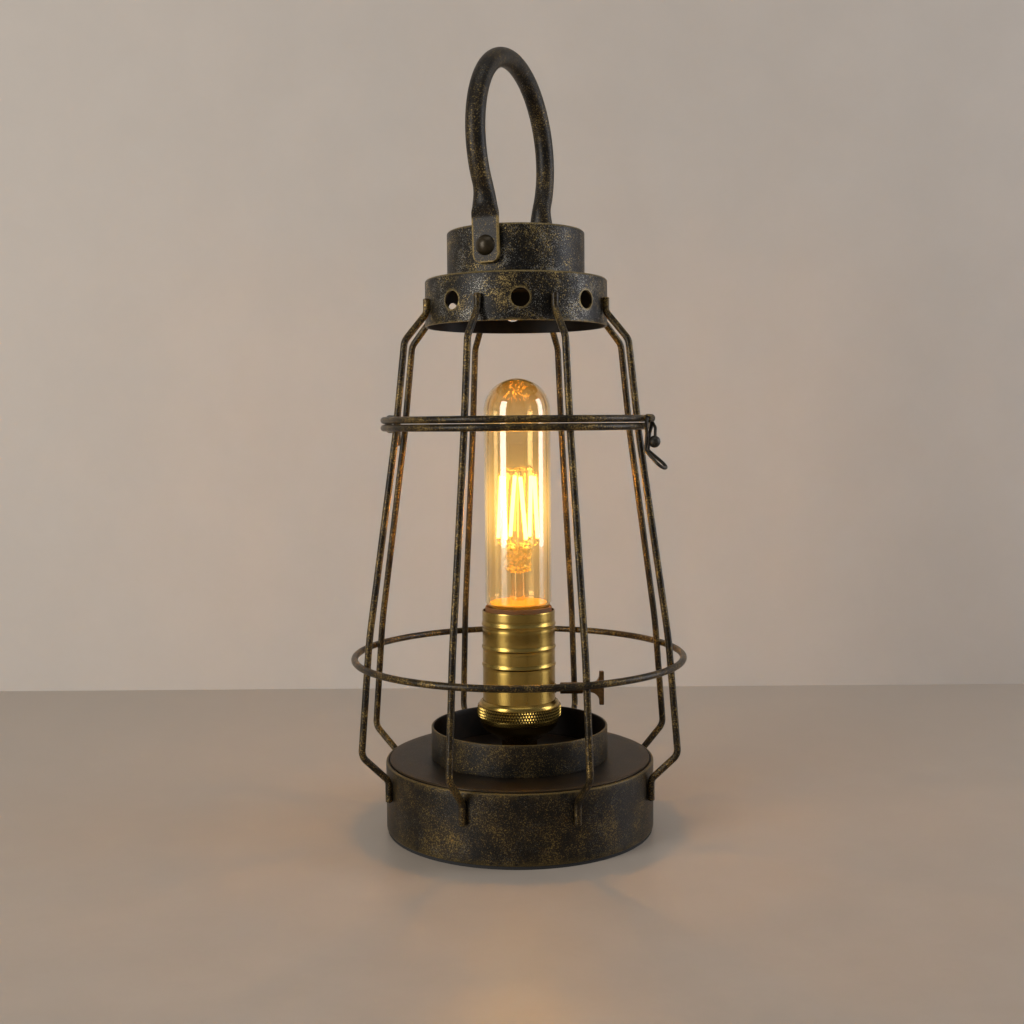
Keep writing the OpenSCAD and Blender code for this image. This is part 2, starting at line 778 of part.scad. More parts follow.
// The rivets hold the crown between an inner head and the outer dome.
module handle_rivets() {
    dome_h = 3.1;
    head_r = rivet_head_d / 2;
    dome_r = (head_r * head_r + dome_h * dome_h) / (2 * dome_h);
    seat = strap_out_r + 0.15;
    clench_r = 4;
    clench = sqrt(pow(crown_r - cap_wall, 2) - pow(clench_r, 2)) - 0.1;
    profile = concat([[0, clench - 1.2], [clench_r, clench - 1.2], [clench_r, clench],
                      [rivet_d / 2, clench], [rivet_d / 2, seat]],
                     arc([0, seat + dome_h - dome_r], dome_r, asin(1 - dome_h / dome_r), 90, 10));
    color(bronze) translate([0, 0, pivot_z]) for (turn = [0, 180])
        at(bail_angle + turn) rotate([0, 90, 0]) rotate_extrude($fn = 48) polygon(profile);
}

module latch_barrel() {
    color(bronze) at(latch_angle) translate([barrel_rho, 0, upper_rim_z])
        rotate([90, 0, 0]) translate([0, 0, -barrel_len / 2]) difference() {
            cylinder(h = barrel_len, d = barrel_d, $fn = 48);
            translate([0, 0, -1]) cylinder(h = barrel_len + 2, d = latch_wire_d + 0.4, $fn = 48);
        }
}

// ---- handle ----

// How far a value has gone from one end to another, eased at both ends.
function eased(value, from, to) =
    let (u = min(1, max(0, (value - from) / (to - from)))) u * u * (3 - 2 * u);

// A ring round the bail's foot, which widens all the way down and thins out above the strap.
// Tilt is 0 on the straight and the angle of the reverse bend above it.
function foot_ring_points(tilt, rise) =
    let (w = bail_d + (strap_w - bail_d) * eased(rise, neck_rise, strap_rise) - hair,
         t = bail_d + (strap_t - bail_d) * eased(rise, thin_rise, strap_rise) - hair,
         rho = strap_mid_r + foot_bend_r * (1 - cos(tilt)))
    [for (i = [0:foot_steps - 1])
        let (a = (i + 0.5) * 360 / foot_steps, out = t / 2 * cos(a))
        [rho + out * cos(tilt), sign(sin(a)) * (w - t) / 2 + t / 2 * sin(a), rise - out * sin(tilt)]];

module flattened_foot() {
    straight = foot_rise - strap_rise;
    stations = concat([for (i = [0:5])
                           let (tilt = (foot_angle + 0.4) * (5 - i) / 5)
                           [tilt, foot_rise + foot_bend_r * sin(tilt)]],
                      [for (i = [1:6]) [0, foot_rise - straight * i / 6]],
                      [[0, strap_rise - lap]]);
    last = len(stations) - 1;
    points = [for (p = stations) each foot_ring_points(p[0], p[1])];
    sides = [for (i = [0:last - 1], j = [0:foot_steps - 1])
        let (k = (j + 1) % foot_steps, a = i * foot_steps, b = a + foot_steps)
        each [[a + j, b + k, b + j], [a + j, a + k, b + k]]];
    lids = [[for (j = [foot_steps - 1:-1:0]) j],
            [for (j = [0:foot_steps - 1]) last * foot_steps + j]];
    polyhedron(points, concat(sides, lids));
}

module strap() {
    translate([strap_in_r, 0, 0]) rotate([90, 0, 90]) linear_extrude(strap_t) {
        translate([-strap_w / 2, strap_corner_r - strap_drop])
            square([strap_w, strap_rise + strap_drop - strap_corner_r]);
        translate([-strap_w / 2 + strap_corner_r, -strap_drop])
            square([strap_w - 2 * strap_corner_r, strap_drop]);
        for (side = [-1, 1])
            translate([side * (strap_w / 2 - strap_corner_r), strap_corner_r - strap_drop])
                circle(r = strap_corner_r, $fn = 48);
    }
}

module bail_handle() {
    loop_lap = 0.15;
    color(bronze) translate([0, 0, pivot_z]) at(bail_angle) rotate([bail_lean, 0, 0]) difference() {
        union() {
            upright() translate([0, loop_rise, 0]) rotate([0, 0, -foot_angle - loop_lap])
                rotate_extrude(angle = 180 + 2 * (foot_angle + loop_lap))
                    translate([loop_r, 0]) circle(d = bail_d, $fn = 48);
            for (turn = [0, 180])
                rotate([0, 0, turn]) {
                    flattened_foot();
                    strap();
                }
        }
        along_x(-strap_out_r - 5, strap_out_r + 5, rivet_d + 2 * turn_gap);
    }
}

// ---- latch ----

// Places a drawing of the latch: X runs along the rim, Y up, from the barrel's axis.
module hang_latch() {
    at(latch_angle) translate([barrel_rho, 0, upper_rim_z]) rotate([0, latch_lean, 0])
        rotate([90, 0, 90]) children();
}

module latch_loop() {
    narrow = latch_waist;
    wide = latch_half;
    loop = [[-narrow, -kink_fall], [-narrow, -7.6], [-wide, -4], [-wide, 0], [wide, 0],
            [wide, -4], [narrow, -7.6], [narrow, -kink_fall]];
    bends = [0, 2, 2, 1.4, 1.4, 2, 2, 0];
    finger = [[-narrow, 0], [-finger_half, -finger_len + 4], [-finger_half, -finger_len],
              [finger_half, -finger_len], [finger_half, -finger_len + 4], [narrow, 0]];
    finger_bends = [0, 6, finger_half - 0.1, finger_half - 0.1, 6, 0];
    color(bronze_dark) hang_latch() {
        bent_wire(loop, bends, latch_wire_d);
        for (side = [-1, 1])
            translate([side * narrow, -kink_fall, 0]) sphere(d = latch_wire_d + hair, $fn = wire_fn);
        translate([0, -kink_fall, 0]) rotate([-finger_tilt, 0, 0])
            bent_wire(finger, finger_bends, latch_wire_d);
    }
}

module latch_ball() {
    top = [latch_half, -2.4, neck_off];
    foot = [0.4, -ball_fall + ball_d / 2 - 0.4, ball_off];
    color(bronze_dark) hang_latch() {
        translate([0, -ball_fall, ball_off]) sphere(d = ball_d, $fn = 48);
        rod(top, foot, neck_d);
        translate(top) sphere(d = neck_d, $fn = wire_fn);
    }
}

// ---- assembly ----

base_drum();
base_top_plate();
base_collar();
base_bottom_plate();
bottom_screws();
foot_ring();
cord_bushing();
threaded_tube();
tube_nut();
seat_nut();
socket_cap();
knurled_ring();
socket_shell();
socket_liner();
socket_body();
screw_shell();
centre_contact();
terminal_screws();
switch_bushing();
lower_hoop();
lower_rim_ring();
hinge_strap();
for (i = [1:8]) lower_rib(i);
upper_rim_ring();
vent_band();
crown();
handle_rivets();
latch_barrel();
for (i = [1:8]) upper_rib(i);
bail_handle();
latch_loop();
latch_ball();
switch_stem();
switch_key();
bulb_contact();
bulb_insulator();
bulb_screw_cap();
bulb_glass();
bulb_stem();
filament_frame();
filaments();
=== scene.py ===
"""Lantern table lamp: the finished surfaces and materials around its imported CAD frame.

The classes hold sizes in millimetres. They become metres where a mesh is made.
A compass angle is measured from the front, -Y, towards the right, +X.
"""

import json
import logging
import math
from dataclasses import dataclass
from enum import Enum
from typing import Any, Iterable, Sequence

import bmesh
import bpy
import numpy as np
from mathutils import Matrix


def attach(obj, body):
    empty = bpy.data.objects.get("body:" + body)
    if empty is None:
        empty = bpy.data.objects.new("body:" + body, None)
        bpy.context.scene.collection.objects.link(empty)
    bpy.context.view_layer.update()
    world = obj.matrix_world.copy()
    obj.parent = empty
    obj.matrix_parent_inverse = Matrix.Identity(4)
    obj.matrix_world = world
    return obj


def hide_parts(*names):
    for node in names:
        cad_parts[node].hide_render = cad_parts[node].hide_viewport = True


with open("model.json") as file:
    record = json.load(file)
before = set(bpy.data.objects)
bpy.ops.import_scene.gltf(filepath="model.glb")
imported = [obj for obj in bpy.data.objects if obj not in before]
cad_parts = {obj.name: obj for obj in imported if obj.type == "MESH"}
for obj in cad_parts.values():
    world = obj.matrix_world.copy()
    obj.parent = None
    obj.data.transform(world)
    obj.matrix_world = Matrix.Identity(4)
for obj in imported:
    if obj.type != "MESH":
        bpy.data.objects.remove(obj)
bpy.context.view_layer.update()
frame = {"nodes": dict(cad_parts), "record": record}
LOG = logging.getLogger("lantern")
MM = 0.001
SHARP_EDGE = math.radians(38)
Array = np.ndarray
Socket = bpy.types.NodeSocket
Inputs = dict[str | int, Any]
Path = Sequence[Sequence[float]]


class Body(Enum):
    """The rigid bodies of the lamp, named as in the frame."""

    BASE = "base"
    LID = "lid"
    HANDLE = "handle"
    LATCH = "latch"
    KEY = "key"
    BULB = "bulb"


class Slot(Enum):
    """The record's material slots."""

    PAINTED_STEEL = "painted_steel"
    DARK_STEEL = "dark_steel"
    ZINC_STEEL = "zinc_steel"
    BRASS = "brass"
    NICKEL = "nickel"
    SWITCH_BRONZE = "switch_bronze"
    LINER = "liner"
    PHENOLIC = "phenolic"
    RUBBER = "rubber"
    BLACK_GLASS = "black_glass"
    AMBER_GLASS = "amber_glass"
    CLEAR_GLASS = "clear_glass"
    FILAMENT = "filament"


# ---- colour and nodes ----


class Node(Enum):
    """The kinds of shader node that the finishes are wired from."""

    ATTRIBUTE = "ShaderNodeAttribute"
    BUMP = "ShaderNodeBump"
    COORDINATE = "ShaderNodeTexCoord"
    GEOMETRY = "ShaderNodeNewGeometry"
    LIGHT_PATH = "ShaderNodeLightPath"
    MAPPING = "ShaderNodeMapping"
    MATHS = "ShaderNodeMath"
    MIX = "ShaderNodeMix"
    NOISE = "ShaderNodeTexNoise"
    RANGE = "ShaderNodeMapRange"
    SEPARATE = "ShaderNodeSeparateXYZ"
    VECTORS = "ShaderNodeVectorMath"
    WAVE = "ShaderNodeTexWave"


TIMES = {"operation": "MULTIPLY"}
TIMES_PLUS = {"operation": "MULTIPLY_ADD"}
MINUS = {"operation": "SUBTRACT"}
LARGER = {"operation": "MAXIMUM"}
UNSIGNED = {"operation": "ABSOLUTE"}
DOT = {"operation": "DOT_PRODUCT"}
EASED = {"interpolation_type": "SMOOTHSTEP"}
COLOURS = {"data_type": "RGBA"}
SEEDED = {"noise_dimensions": "4D"}
WEAR_AND_SHADE = {"attribute_name": "wear_and_shade"}
MIXED = 2  # the output of a Mix node that holds its colour


def linear(code: str) -> tuple[float, float, float, float]:
    """Turns an sRGB hex colour into linear red, green, blue and alpha.

    Args:
        code: six hex digits, with or without a leading hash.

    Returns:
        The colour as Blender's sockets take it.
    """
    values = np.array([int(code.lstrip("#")[i : i + 2], 16) / 255 for i in (0, 2, 4)])
    lin = np.where(values <= 0.04045, values / 12.92, ((values + 0.055) / 1.055) ** 2.4)
    return (float(lin[0]), float(lin[1]), float(lin[2]), 1.0)


def connect(tree: bpy.types.NodeTree, node: bpy.types.Node, inputs: Inputs) -> None:
    """Sets or links a node's inputs.

    Args:
        tree: the node tree.
        node: the node.
        inputs: for each input, by name or number, a number, a hex colour or another node's output.
    """
    for key, value in inputs.items():
        if isinstance(value, Socket):
            tree.links.new(value, node.inputs[key])
        else:
            node.inputs[key].default_value = linear(value) if isinstance(value, str) else value


def add_node(
    tree: bpy.types.NodeTree,
    kind: Node,
    settings: dict[str, str] | None = None,
    inputs: Inputs | None = None,
    output: str | int = 0,
) -> Socket:
    """Adds a node with its settings and links.

    Args:
        tree: the node tree to add to.
        kind: the kind of node.
        settings: the node's own properties.
        inputs: what its inputs get, as connect takes them.
        output: the output to hand back, by name or number.

    Returns:
        That output.
    """
    node = tree.nodes.new(kind.value)
    for name, value in (settings or {}).items():
        setattr(node, name, value)
    connect(tree, node, inputs or {})
    return node.outputs[output]


@dataclass(frozen=True)
class Finish:
    """A surface finish. Each kind wires its own pattern into the shader."""

    name: str

    def material(self) -> bpy.types.Material:
        """Returns the finish as a material, made on its first use."""
        made = bpy.data.materials.get(self.name)
        if made:
            return made
        made = bpy.data.materials.new(self.name)
        made.use_nodes = True
        tree = made.node_tree
        connect(tree, tree.nodes["Principled BSDF"], self.wire(tree))
        return made

    def wire(self, tree: bpy.types.NodeTree) -> Inputs:
        """Adds the pattern's nodes.

        Args:
            tree: the material's node tree.

        Returns:
            What each of the principled shader's sockets gets.
        """
        raise NotImplementedError


@dataclass(frozen=True)
class SpongedEnamel(Finish):
    """Stove enamel in near-black brown, sponged with gold and silver-grey and rubbed back.

    It gives the eye a dark satin metal, peppered with fine warm and cool flecks that
    gather in clouds, and bare gold edges where the paint is rubbed through. On a sheet
    piece the faces that look inwards or down get no flecks: painted shade, so they stay dark.
    """

    ground: str = "#0f0c08"
    brown: str = "#21190f"
    gold: str = "#9c8148"
    grey: str = "#8b8880"
    fleck_mm: float = 0.62
    speck_mm: float = 0.5
    cloud_mm: float = 13.0
    cloud_share: float = 0.4
    gold_from: float = 0.725
    grey_from: float = 0.77
    gold_full: float = 0.85
    grey_full: float = 0.8
    rubbed_full: float = 0.65
    softness: float = 0.15
    gloss: float = 0.3
    relief_mm: float = 0.15
    sheet: bool = False

    def outside(self, tree: bpy.types.NodeTree, place: Socket) -> Socket:
        """Tells a sheet's flecked side: 1 where it faces away from the lamp's axis or up, 0 inside, where the
        plain ground is painted shade.

        It is the sign of the normal times (x, y, 0.01), so a level face goes by its z.

        Args:
            tree: the material's node tree.
            place: the point's own place.

        Returns:
            The share of sponging.
        """
        normal = add_node(tree, Node.COORDINATE, output="Normal")
        away = add_node(tree, Node.VECTORS, TIMES_PLUS, {0: place, 1: (1, 1, 0), 2: (0, 0, 0.01)})
        facing = add_node(tree, Node.VECTORS, DOT, {0: normal, 1: away}, "Value")
        return add_node(tree, Node.RANGE, EASED, {"Value": facing, "From Min": -0.002, "From Max": 0.002})

    def wire(self, tree: bpy.types.NodeTree) -> Inputs:
        """Adds the pattern's nodes: flecks where a cloud and a grain add up to enough, and the rub."""
        place = add_node(tree, Node.COORDINATE, output="Object")
        warm_cloud, cool_cloud, fleck, speck = (
            add_node(
                tree,
                Node.NOISE,
                SEEDED,
                {"Vector": place, "W": seed, "Scale": 1 / (size * MM), "Detail": detail, "Roughness": rough},
            )
            for seed, size, detail, rough in (
                (1.0, self.cloud_mm, 4.0, 0.6),
                (7.0, self.cloud_mm * 0.8, 4.0, 0.6),
                (3.0, self.fleck_mm, 5.0, 0.72),
                (11.0, self.speck_mm, 4.0, 0.7),
            )
        )
        masks = []
        for cloud, grain, start, full in (
            (warm_cloud, fleck, self.gold_from, self.gold_full),
            (cool_cloud, speck, self.grey_from, self.grey_full),
        ):
            paint = add_node(tree, Node.MATHS, TIMES_PLUS, {0: cloud, 1: self.cloud_share, 2: grain})
            span = {"Value": paint, "From Min": start, "From Max": start + self.softness, "To Max": full}
            masks.append(add_node(tree, Node.RANGE, EASED, span))
        rubbed = add_node(tree, Node.ATTRIBUTE, WEAR_AND_SHADE, output="Fac")
        broken = add_node(tree, Node.RANGE, EASED, {"Value": fleck, "From Min": 0.32, "From Max": 0.55})
        for share in (broken, self.rubbed_full):
            rubbed = add_node(tree, Node.MATHS, TIMES, {0: rubbed, 1: share})
        masks[0] = add_node(tree, Node.MATHS, LARGER, {0: masks[0], 1: rubbed})
        # Painted shade: on a sheet, faces that look inwards or down lose their flecks and stay plain dark
        # ground.
        if self.sheet:
            outside = self.outside(tree, place)
            masks = [add_node(tree, Node.MATHS, TIMES, {0: mask, 1: outside}) for mask in masks]
        warm, cool = masks
        colour = self.ground
        shade = add_node(tree, Node.RANGE, EASED, {"Value": warm_cloud, "From Min": 0.38, "From Max": 0.66})
        for share, coat in ((shade, self.brown), (cool, self.grey), (warm, self.gold)):
            colour = add_node(tree, Node.MIX, COLOURS, {0: share, 6: colour, 7: coat}, MIXED)
        flecks = add_node(tree, Node.MATHS, LARGER, {0: warm, 1: cool})
        height = add_node(tree, Node.MATHS, TIMES_PLUS, {0: flecks, 1: 0.6, 2: fleck})
        raised = {"Strength": 0.3, "Distance": self.relief_mm * MM, "Height": height}
        return {
            "Base Color": colour,
            "Metallic": add_node(tree, Node.MATHS, TIMES_PLUS, {0: flecks, 1: 0.85, 2: 0.1}),
            "Specular IOR Level": 0.25,
            "Roughness": add_node(tree, Node.MATHS, TIMES_PLUS, {0: fleck, 1: 0.25, 2: self.gloss}),
            "Normal": add_node(tree, Node.BUMP, None, raised),
        }


@dataclass(frozen=True)
class TurnedMetal(Finish):
    """A bare or plated metal with fine lines round the lamp's axis, as spinning leaves them.

    It gives the eye soft highlights that run up and down the piece and, where a groove shade is set,
    grooves darkened as painted shade. The lines are drawn coarser than real ones, so that they show.
    """

    colour: str = "#bb9f58"
    shade: str = "#93793a"
    roughness: float = 0.22
    anisotropy: float = 0.6
    line_mm: float = 0.25
    line_length_mm: float = 1000 / 30
    patch_mm: float = 9.0
    groove_shade: str = ""

    def wire(self, tree: bpy.types.NodeTree) -> Inputs:
        """Adds the pattern's nodes: a noise drawn out round the axis, and patches of a second colour."""
        place = add_node(tree, Node.COORDINATE, output="Object")
        flat = 1 / (self.line_length_mm * MM)
        stretch = (flat, flat, 1 / (self.line_mm * MM))
        along = add_node(tree, Node.MAPPING, None, {"Vector": place, "Scale": stretch})
        noise = {"Vector": along, "Scale": 1.0, "Detail": 3.0, "Roughness": 0.6}
        lines = add_node(tree, Node.NOISE, None, noise)
        patches = {"Vector": place, "Scale": 1 / (self.patch_mm * MM), "Detail": 3.0}
        share = add_node(tree, Node.NOISE, None, patches)
        colour = add_node(tree, Node.MIX, COLOURS, {0: share, 6: self.colour, 7: self.shade}, MIXED)
        # Painted shade: where the point value is low, at the bottoms of the knurl's grooves, the colour
        # darkens towards the groove colour.
        if self.groove_shade:
            wear_and_shade = add_node(tree, Node.ATTRIBUTE, WEAR_AND_SHADE, output="Fac")
            bright = add_node(tree, Node.RANGE, None, {"Value": wear_and_shade, "From Min": 0.04, "From Max": 0.42})
            colour = add_node(tree, Node.MIX, COLOURS, {0: bright, 6: self.groove_shade, 7: colour}, MIXED)
        span = {"Value": lines, "To Min": self.roughness * 0.8, "To Max": self.roughness * 1.25}
        raised = {"Strength": 0.12, "Distance": 0.03 * MM, "Height": lines}
        return {
            "Base Color": colour,
            "Metallic": 1.0,
            "Anisotropic": self.anisotropy,
            "Roughness": add_node(tree, Node.RANGE, None, span),
            "Normal": add_node(tree, Node.BUMP, None, raised),
        }


@dataclass(frozen=True)
class GrainedSolid(Finish):
    """Paint, rubber, phenolic or board with a fine grain of its own.

    It gives the eye a plain colour that shifts a little and a skin that isn't perfectly
    smooth. A one-sided solid can't be seen from behind.
    """

    colour: str = "#202020"
    fleck: str = "#303030"
    roughness: float = 0.5
    metallic: float = 0.0
    grain_mm: float = 0.8
    stretch: tuple[float, float, float] = (1.0, 1.0, 1.0)
    relief_mm: float = 0.05
    one_sided: bool = False

    def wire(self, tree: bpy.types.NodeTree) -> Inputs:
        """Adds the pattern's nodes: one noise shifts the colour, the gloss and the skin."""
        place = add_node(tree, Node.COORDINATE, output="Object")
        along = add_node(tree, Node.MAPPING, None, {"Vector": place, "Scale": self.stretch})
        noise = {"Vector": along, "Scale": 1 / (self.grain_mm * MM), "Detail": 4.0, "Roughness": 0.65}
        grain = add_node(tree, Node.NOISE, None, noise)
        share = add_node(tree, Node.RANGE, None, {"Value": grain, "From Min": 0.35, "From Max": 0.7})
        dullest = min(1.0, self.roughness * 1.2)
        span = {"Value": grain, "To Min": self.roughness * 0.85, "To Max": dullest}
        raised = {"Strength": 0.4, "Distance": self.relief_mm * MM, "Height": grain}
        inputs = {
            "Base Color": add_node(tree, Node.MIX, COLOURS, {0: share, 6: self.colour, 7: self.fleck}, MIXED),
            "Roughness": add_node(tree, Node.RANGE, None, span),
            "Metallic": self.metallic,
            "Normal": add_node(tree, Node.BUMP, None, raised),
        }
        if self.one_sided:
            behind = add_node(tree, Node.GEOMETRY, output="Backfacing")
            inputs["Alpha"] = add_node(tree, Node.MATHS, MINUS, {0: 1.0, 1: behind})
        return inputs


@dataclass(frozen=True)
class BlownGlass(Finish):
    """Soda-lime bulb glass, blown, with a deeper amber in streaks under the dome: partly its own tint and
    partly a painted reflection of the lit sticks.

    It gives the eye a clear wall with bright rims, a golden top, and a painted glow that the glass itself
    gives off beside the lit sticks. Its heights are in metres, as the coordinate is.
    """

    colour: str = "#fbe8c0"
    # The dome's deeper amber, partly tint and partly painted reflection of the lit sticks.
    dome_tint_and_reflection: str = "#dfae55"
    # The colour of the painted glow: light that the glass itself gives off beside the lit sticks.
    painted_glow_colour: str = "#ffcc62"
    wave_mm: float = 14.0
    streak_mm: float = 3.2
    streak_stretch: tuple[float, float, float] = (1.0, 1.0, 0.22)
    # Where the dome's amber, partly painted reflection, begins and where it is full, in metres.
    dome_tint_and_reflection_from: float = 0.217
    dome_tint_and_reflection_full: float = 0.236
    # Where the painted glow is strongest, in metres, how far it reaches, and its strength there and far off.
    painted_glow_at: float = 0.168
    painted_glow_reach: float = 0.034
    painted_glow: float = 0.19
    painted_glow_far: float = 0.12

    def wire(self, tree: bpy.types.NodeTree) -> Inputs:
        """Adds the pattern's nodes: streaks of tint and painted reflection that grow with the height, a
        painted glow, and waves.
        """
        place = add_node(tree, Node.COORDINATE, output="Object")
        height = add_node(tree, Node.SEPARATE, None, {0: place}, "Z")
        # Painted reflection, in part: above this height the colour turns in streaks to a deeper amber, which
        # stands for the dome's tint and for the lit sticks' reflections in it.
        span = {"Value": height, "From Min": self.dome_tint_and_reflection_from, "From Max": self.dome_tint_and_reflection_full}
        upper = add_node(tree, Node.RANGE, None, span)
        along = add_node(tree, Node.MAPPING, None, {"Vector": place, "Scale": self.streak_stretch})
        noise = {"Vector": along, "Scale": 1 / (self.streak_mm * MM), "Detail": 2.0}
        streaks = add_node(tree, Node.NOISE, None, noise)
        span = {"Value": streaks, "From Min": 0.4, "From Max": 0.58, "To Min": 0.25}
        share = add_node(tree, Node.MATHS, TIMES, {0: upper, 1: add_node(tree, Node.RANGE, None, span)})
        # Painted glow: the glass itself emits, most at one height and less away from it, to stand for the lit
        # sticks' glow.
        away = add_node(tree, Node.MATHS, MINUS, {0: height, 1: self.painted_glow_at})
        away = add_node(tree, Node.MATHS, UNSIGNED, {0: away})
        far = self.painted_glow * self.painted_glow_far
        glow = {"Value": away, "From Max": self.painted_glow_reach, "To Min": self.painted_glow, "To Max": far}
        noise = {"Vector": place, "Scale": 1 / (self.wave_mm * MM), "Detail": 1.0}
        waves = add_node(tree, Node.NOISE, None, noise)
        raised = {"Strength": 0.15, "Distance": 0.1 * MM, "Height": waves}
        return {
            "Base Color": add_node(tree, Node.MIX, COLOURS, {0: share, 6: self.colour, 7: self.dome_tint_and_reflection}, MIXED),
            "Transmission Weight": 1.0,
            "Roughness": 0.0,
            "IOR": 1.5,
            "Coat Weight": 0.6,
            "Coat Roughness": 0.03,
            "Coat IOR": 1.6,
            "Emission Color": self.painted_glow_colour,
            "Emission Strength": add_node(tree, Node.RANGE, EASED, glow),
            "Normal": add_node(tree, Node.BUMP, None, raised),
        }


@dataclass(frozen=True)
class LitPhosphor(Finish):
    """A filament stick under yellow phosphor, lit.

    It gives the eye a white-hot line, with the chips as brighter beads along it.
    """

    colour: str = "#ffb648"
    powder: str = "#e8a53c"
    strength: float = 128.0
    bead_mm: float = 1.3

    def wire(self, tree: bpy.types.NodeTree) -> Inputs:
        """Adds the pattern's nodes: bands one bead apart. At scale 0.314 a band is a metre."""
        place = add_node(tree, Node.COORDINATE, output="Object")
        settings = {"bands_direction": "Z", "wave_profile": "SIN"}
        bands = {"Vector": place, "Scale": 0.314 / (self.bead_mm * MM)}
        beads = add_node(tree, Node.WAVE, settings, bands, "Fac")
        glow = {"Value": beads, "To Min": self.strength * 0.75, "To Max": self.strength * 1.2}
        return {
            "Base Color": self.powder,
            "Roughness": 0.45,
            "Emission Color": self.colour,
            "Emission Strength": add_node(tree, Node.RANGE, None, glow),
        }


# Brown-black stove enamel with gold and silver flecks: the general dark patina.
ENAMEL = SpongedEnamel("sponged_stove_enamel")
# The same on the drum and collar: even, fine, dull flecks, so that the sheet looks like old iron; the inner
# faces stay unflecked as painted shade.
DRUM_ENAMEL = SpongedEnamel(
    "sponged_sheet_enamel",
    ground="#0e0b07",
    brown="#1d160d",
    gold="#857040",
    grey="#74726a",
    cloud_share=0.3,
    gold_from=0.665,
    grey_from=0.71,
    softness=0.16,
    sheet=True,
)
# The same on the cap: brighter silver flecks in clouds on a darker ground; the inner faces stay unflecked as
# painted shade.
CAP_ENAMEL = SpongedEnamel(
    "silver_sponged_enamel",
    ground="#0c0a07",
    brown="#1a150e",
    gold="#b49c62",
    grey="#aaa79e",
    cloud_share=0.45,
    gold_from=0.79,
    grey_from=0.79,
    softness=0.09,
    sheet=True,
)
# The same on the bail: flecks all over, which hand wear has brightened.
BAIL_ENAMEL = SpongedEnamel(
    "sponged_bar_enamel", gold="#b0965a", grey="#a19e95", cloud_share=0.25, gold_from=0.67, grey_from=0.7
)
# The same on the wires: an olive brown with a sheen along each wire.
WIRE_ENAMEL = SpongedEnamel(
    "olive_wire_enamel",
    ground="#171209",
    brown="#302513",
    gold="#a68a50",
    gold_from=0.71,
    grey_from=0.8,
    gloss=0.2,
)
# The top plate's enamel, hardly sponged: a plain dark floor under the bulb's light.
PLATE_ENAMEL = SpongedEnamel(
    "plain_brown_enamel", ground="#0f0b06", brown="#1e160b", gold="#4f3d22", gold_from=0.76, grey_from=0.88
)
# Black satin enamel: the small dark parts, with soft highlights.
BLACK_ENAMEL = GrainedSolid(
    "black_satin_enamel", colour="#17150f", fleck="#3a342a", roughness=0.42, metallic=0.35, grain_mm=0.7
)
# Bright zinc plating on steel: a cool, even grey.
ZINC = TurnedMetal("zinc_plated_steel", colour="#b9b9b4", shade="#9a9a96", roughness=0.34)
# Spun brass, satin: warm gold with highlights that run down the shell.
BRASS = TurnedMetal("spun_satin_brass")
# Knurled brass with painted shade in its grooves, so that each diamond stands out as a bright point.
KNURLED_BRASS = TurnedMetal("knurled_brass", roughness=0.24, anisotropy=0.0, line_mm=1.2, groove_shade="#1c1408")
# Nickel plating on brass: a warm silver.
NICKEL = TurnedMetal("nickel_plated_brass", colour="#c9c4b8", shade="#aaa497", roughness=0.25)
# Cast bronze, oiled: the key's brown, part matt and part metal.
OILED_BRONZE = GrainedSolid(
    "oiled_bronze", colour="#745733", fleck="#4a3821", roughness=0.36, metallic=0.85, grain_mm=1.6
)
# Olive enamel on the rivets' heads: plain, a shade lighter than the bail.
RIVET_ENAMEL = GrainedSolid(
    "olive_rivet_enamel", colour="#3c3220", fleck="#282114", roughness=0.34, metallic=0.5, grain_mm=1.2
)
# Varnished pressed board: the warm brown lip above the brass.
BOARD = GrainedSolid(
    "varnished_insulating_board",
    colour="#5e3710",
    fleck="#84561f",
    roughness=0.7,
    grain_mm=0.6,
    stretch=(0.4, 0.4, 1.6),
)
# Moulded phenolic: a glossy dark brown.
PHENOLIC = GrainedSolid("moulded_phenolic", colour="#2a1710", fleck="#3d2418", roughness=0.35)
# Moulded rubber: a dull black.
RUBBER = GrainedSolid("moulded_rubber", colour="#1a1a1a", fleck="#262626", roughness=0.8, grain_mm=0.5)
# Fused glass under the bulb's cap: a glossy black.
VITRITE = GrainedSolid("black_fused_glass", colour="#0c0c0d", fleck="#19191b", roughness=0.15, grain_mm=2.0)
# The bulb's blown wall: clear below, golden at the dome in tint and painted reflection, with a painted glow
# beside the lit sticks.
BULB_GLASS = BlownGlass("blown_bulb_glass")
# The pinched bead: thick amber glass that bends what lies behind it, with a faint painted glow of its own.
BEAD_GLASS = BlownGlass(
    "pressed_bead_glass", colour="#ffe9ae", wave_mm=2.0, painted_glow_at=0.145, painted_glow_reach=0.03, painted_glow=0.03
)
# Painted light on the foot's shoulder: a faint glowing amber dish that stands for the lit sticks' light
# reflected off the glass there.
PAINTED_GLOW_DISH = LitPhosphor(
    "painted_glow_foot_dish", colour="#ffa610", powder="#cc9418", strength=0.34, bead_mm=4.0
)
# The foot's pressed glass: almost colourless, with a faint painted glow towards its top.
STEM_GLASS = BlownGlass("pressed_stem_glass", colour="#fff2da", wave_mm=5.0, painted_glow=0.05)
# The lit sticks: the brightest thing in the lamp, and its warm light.
PHOSPHOR = LitPhosphor("lit_phosphor")

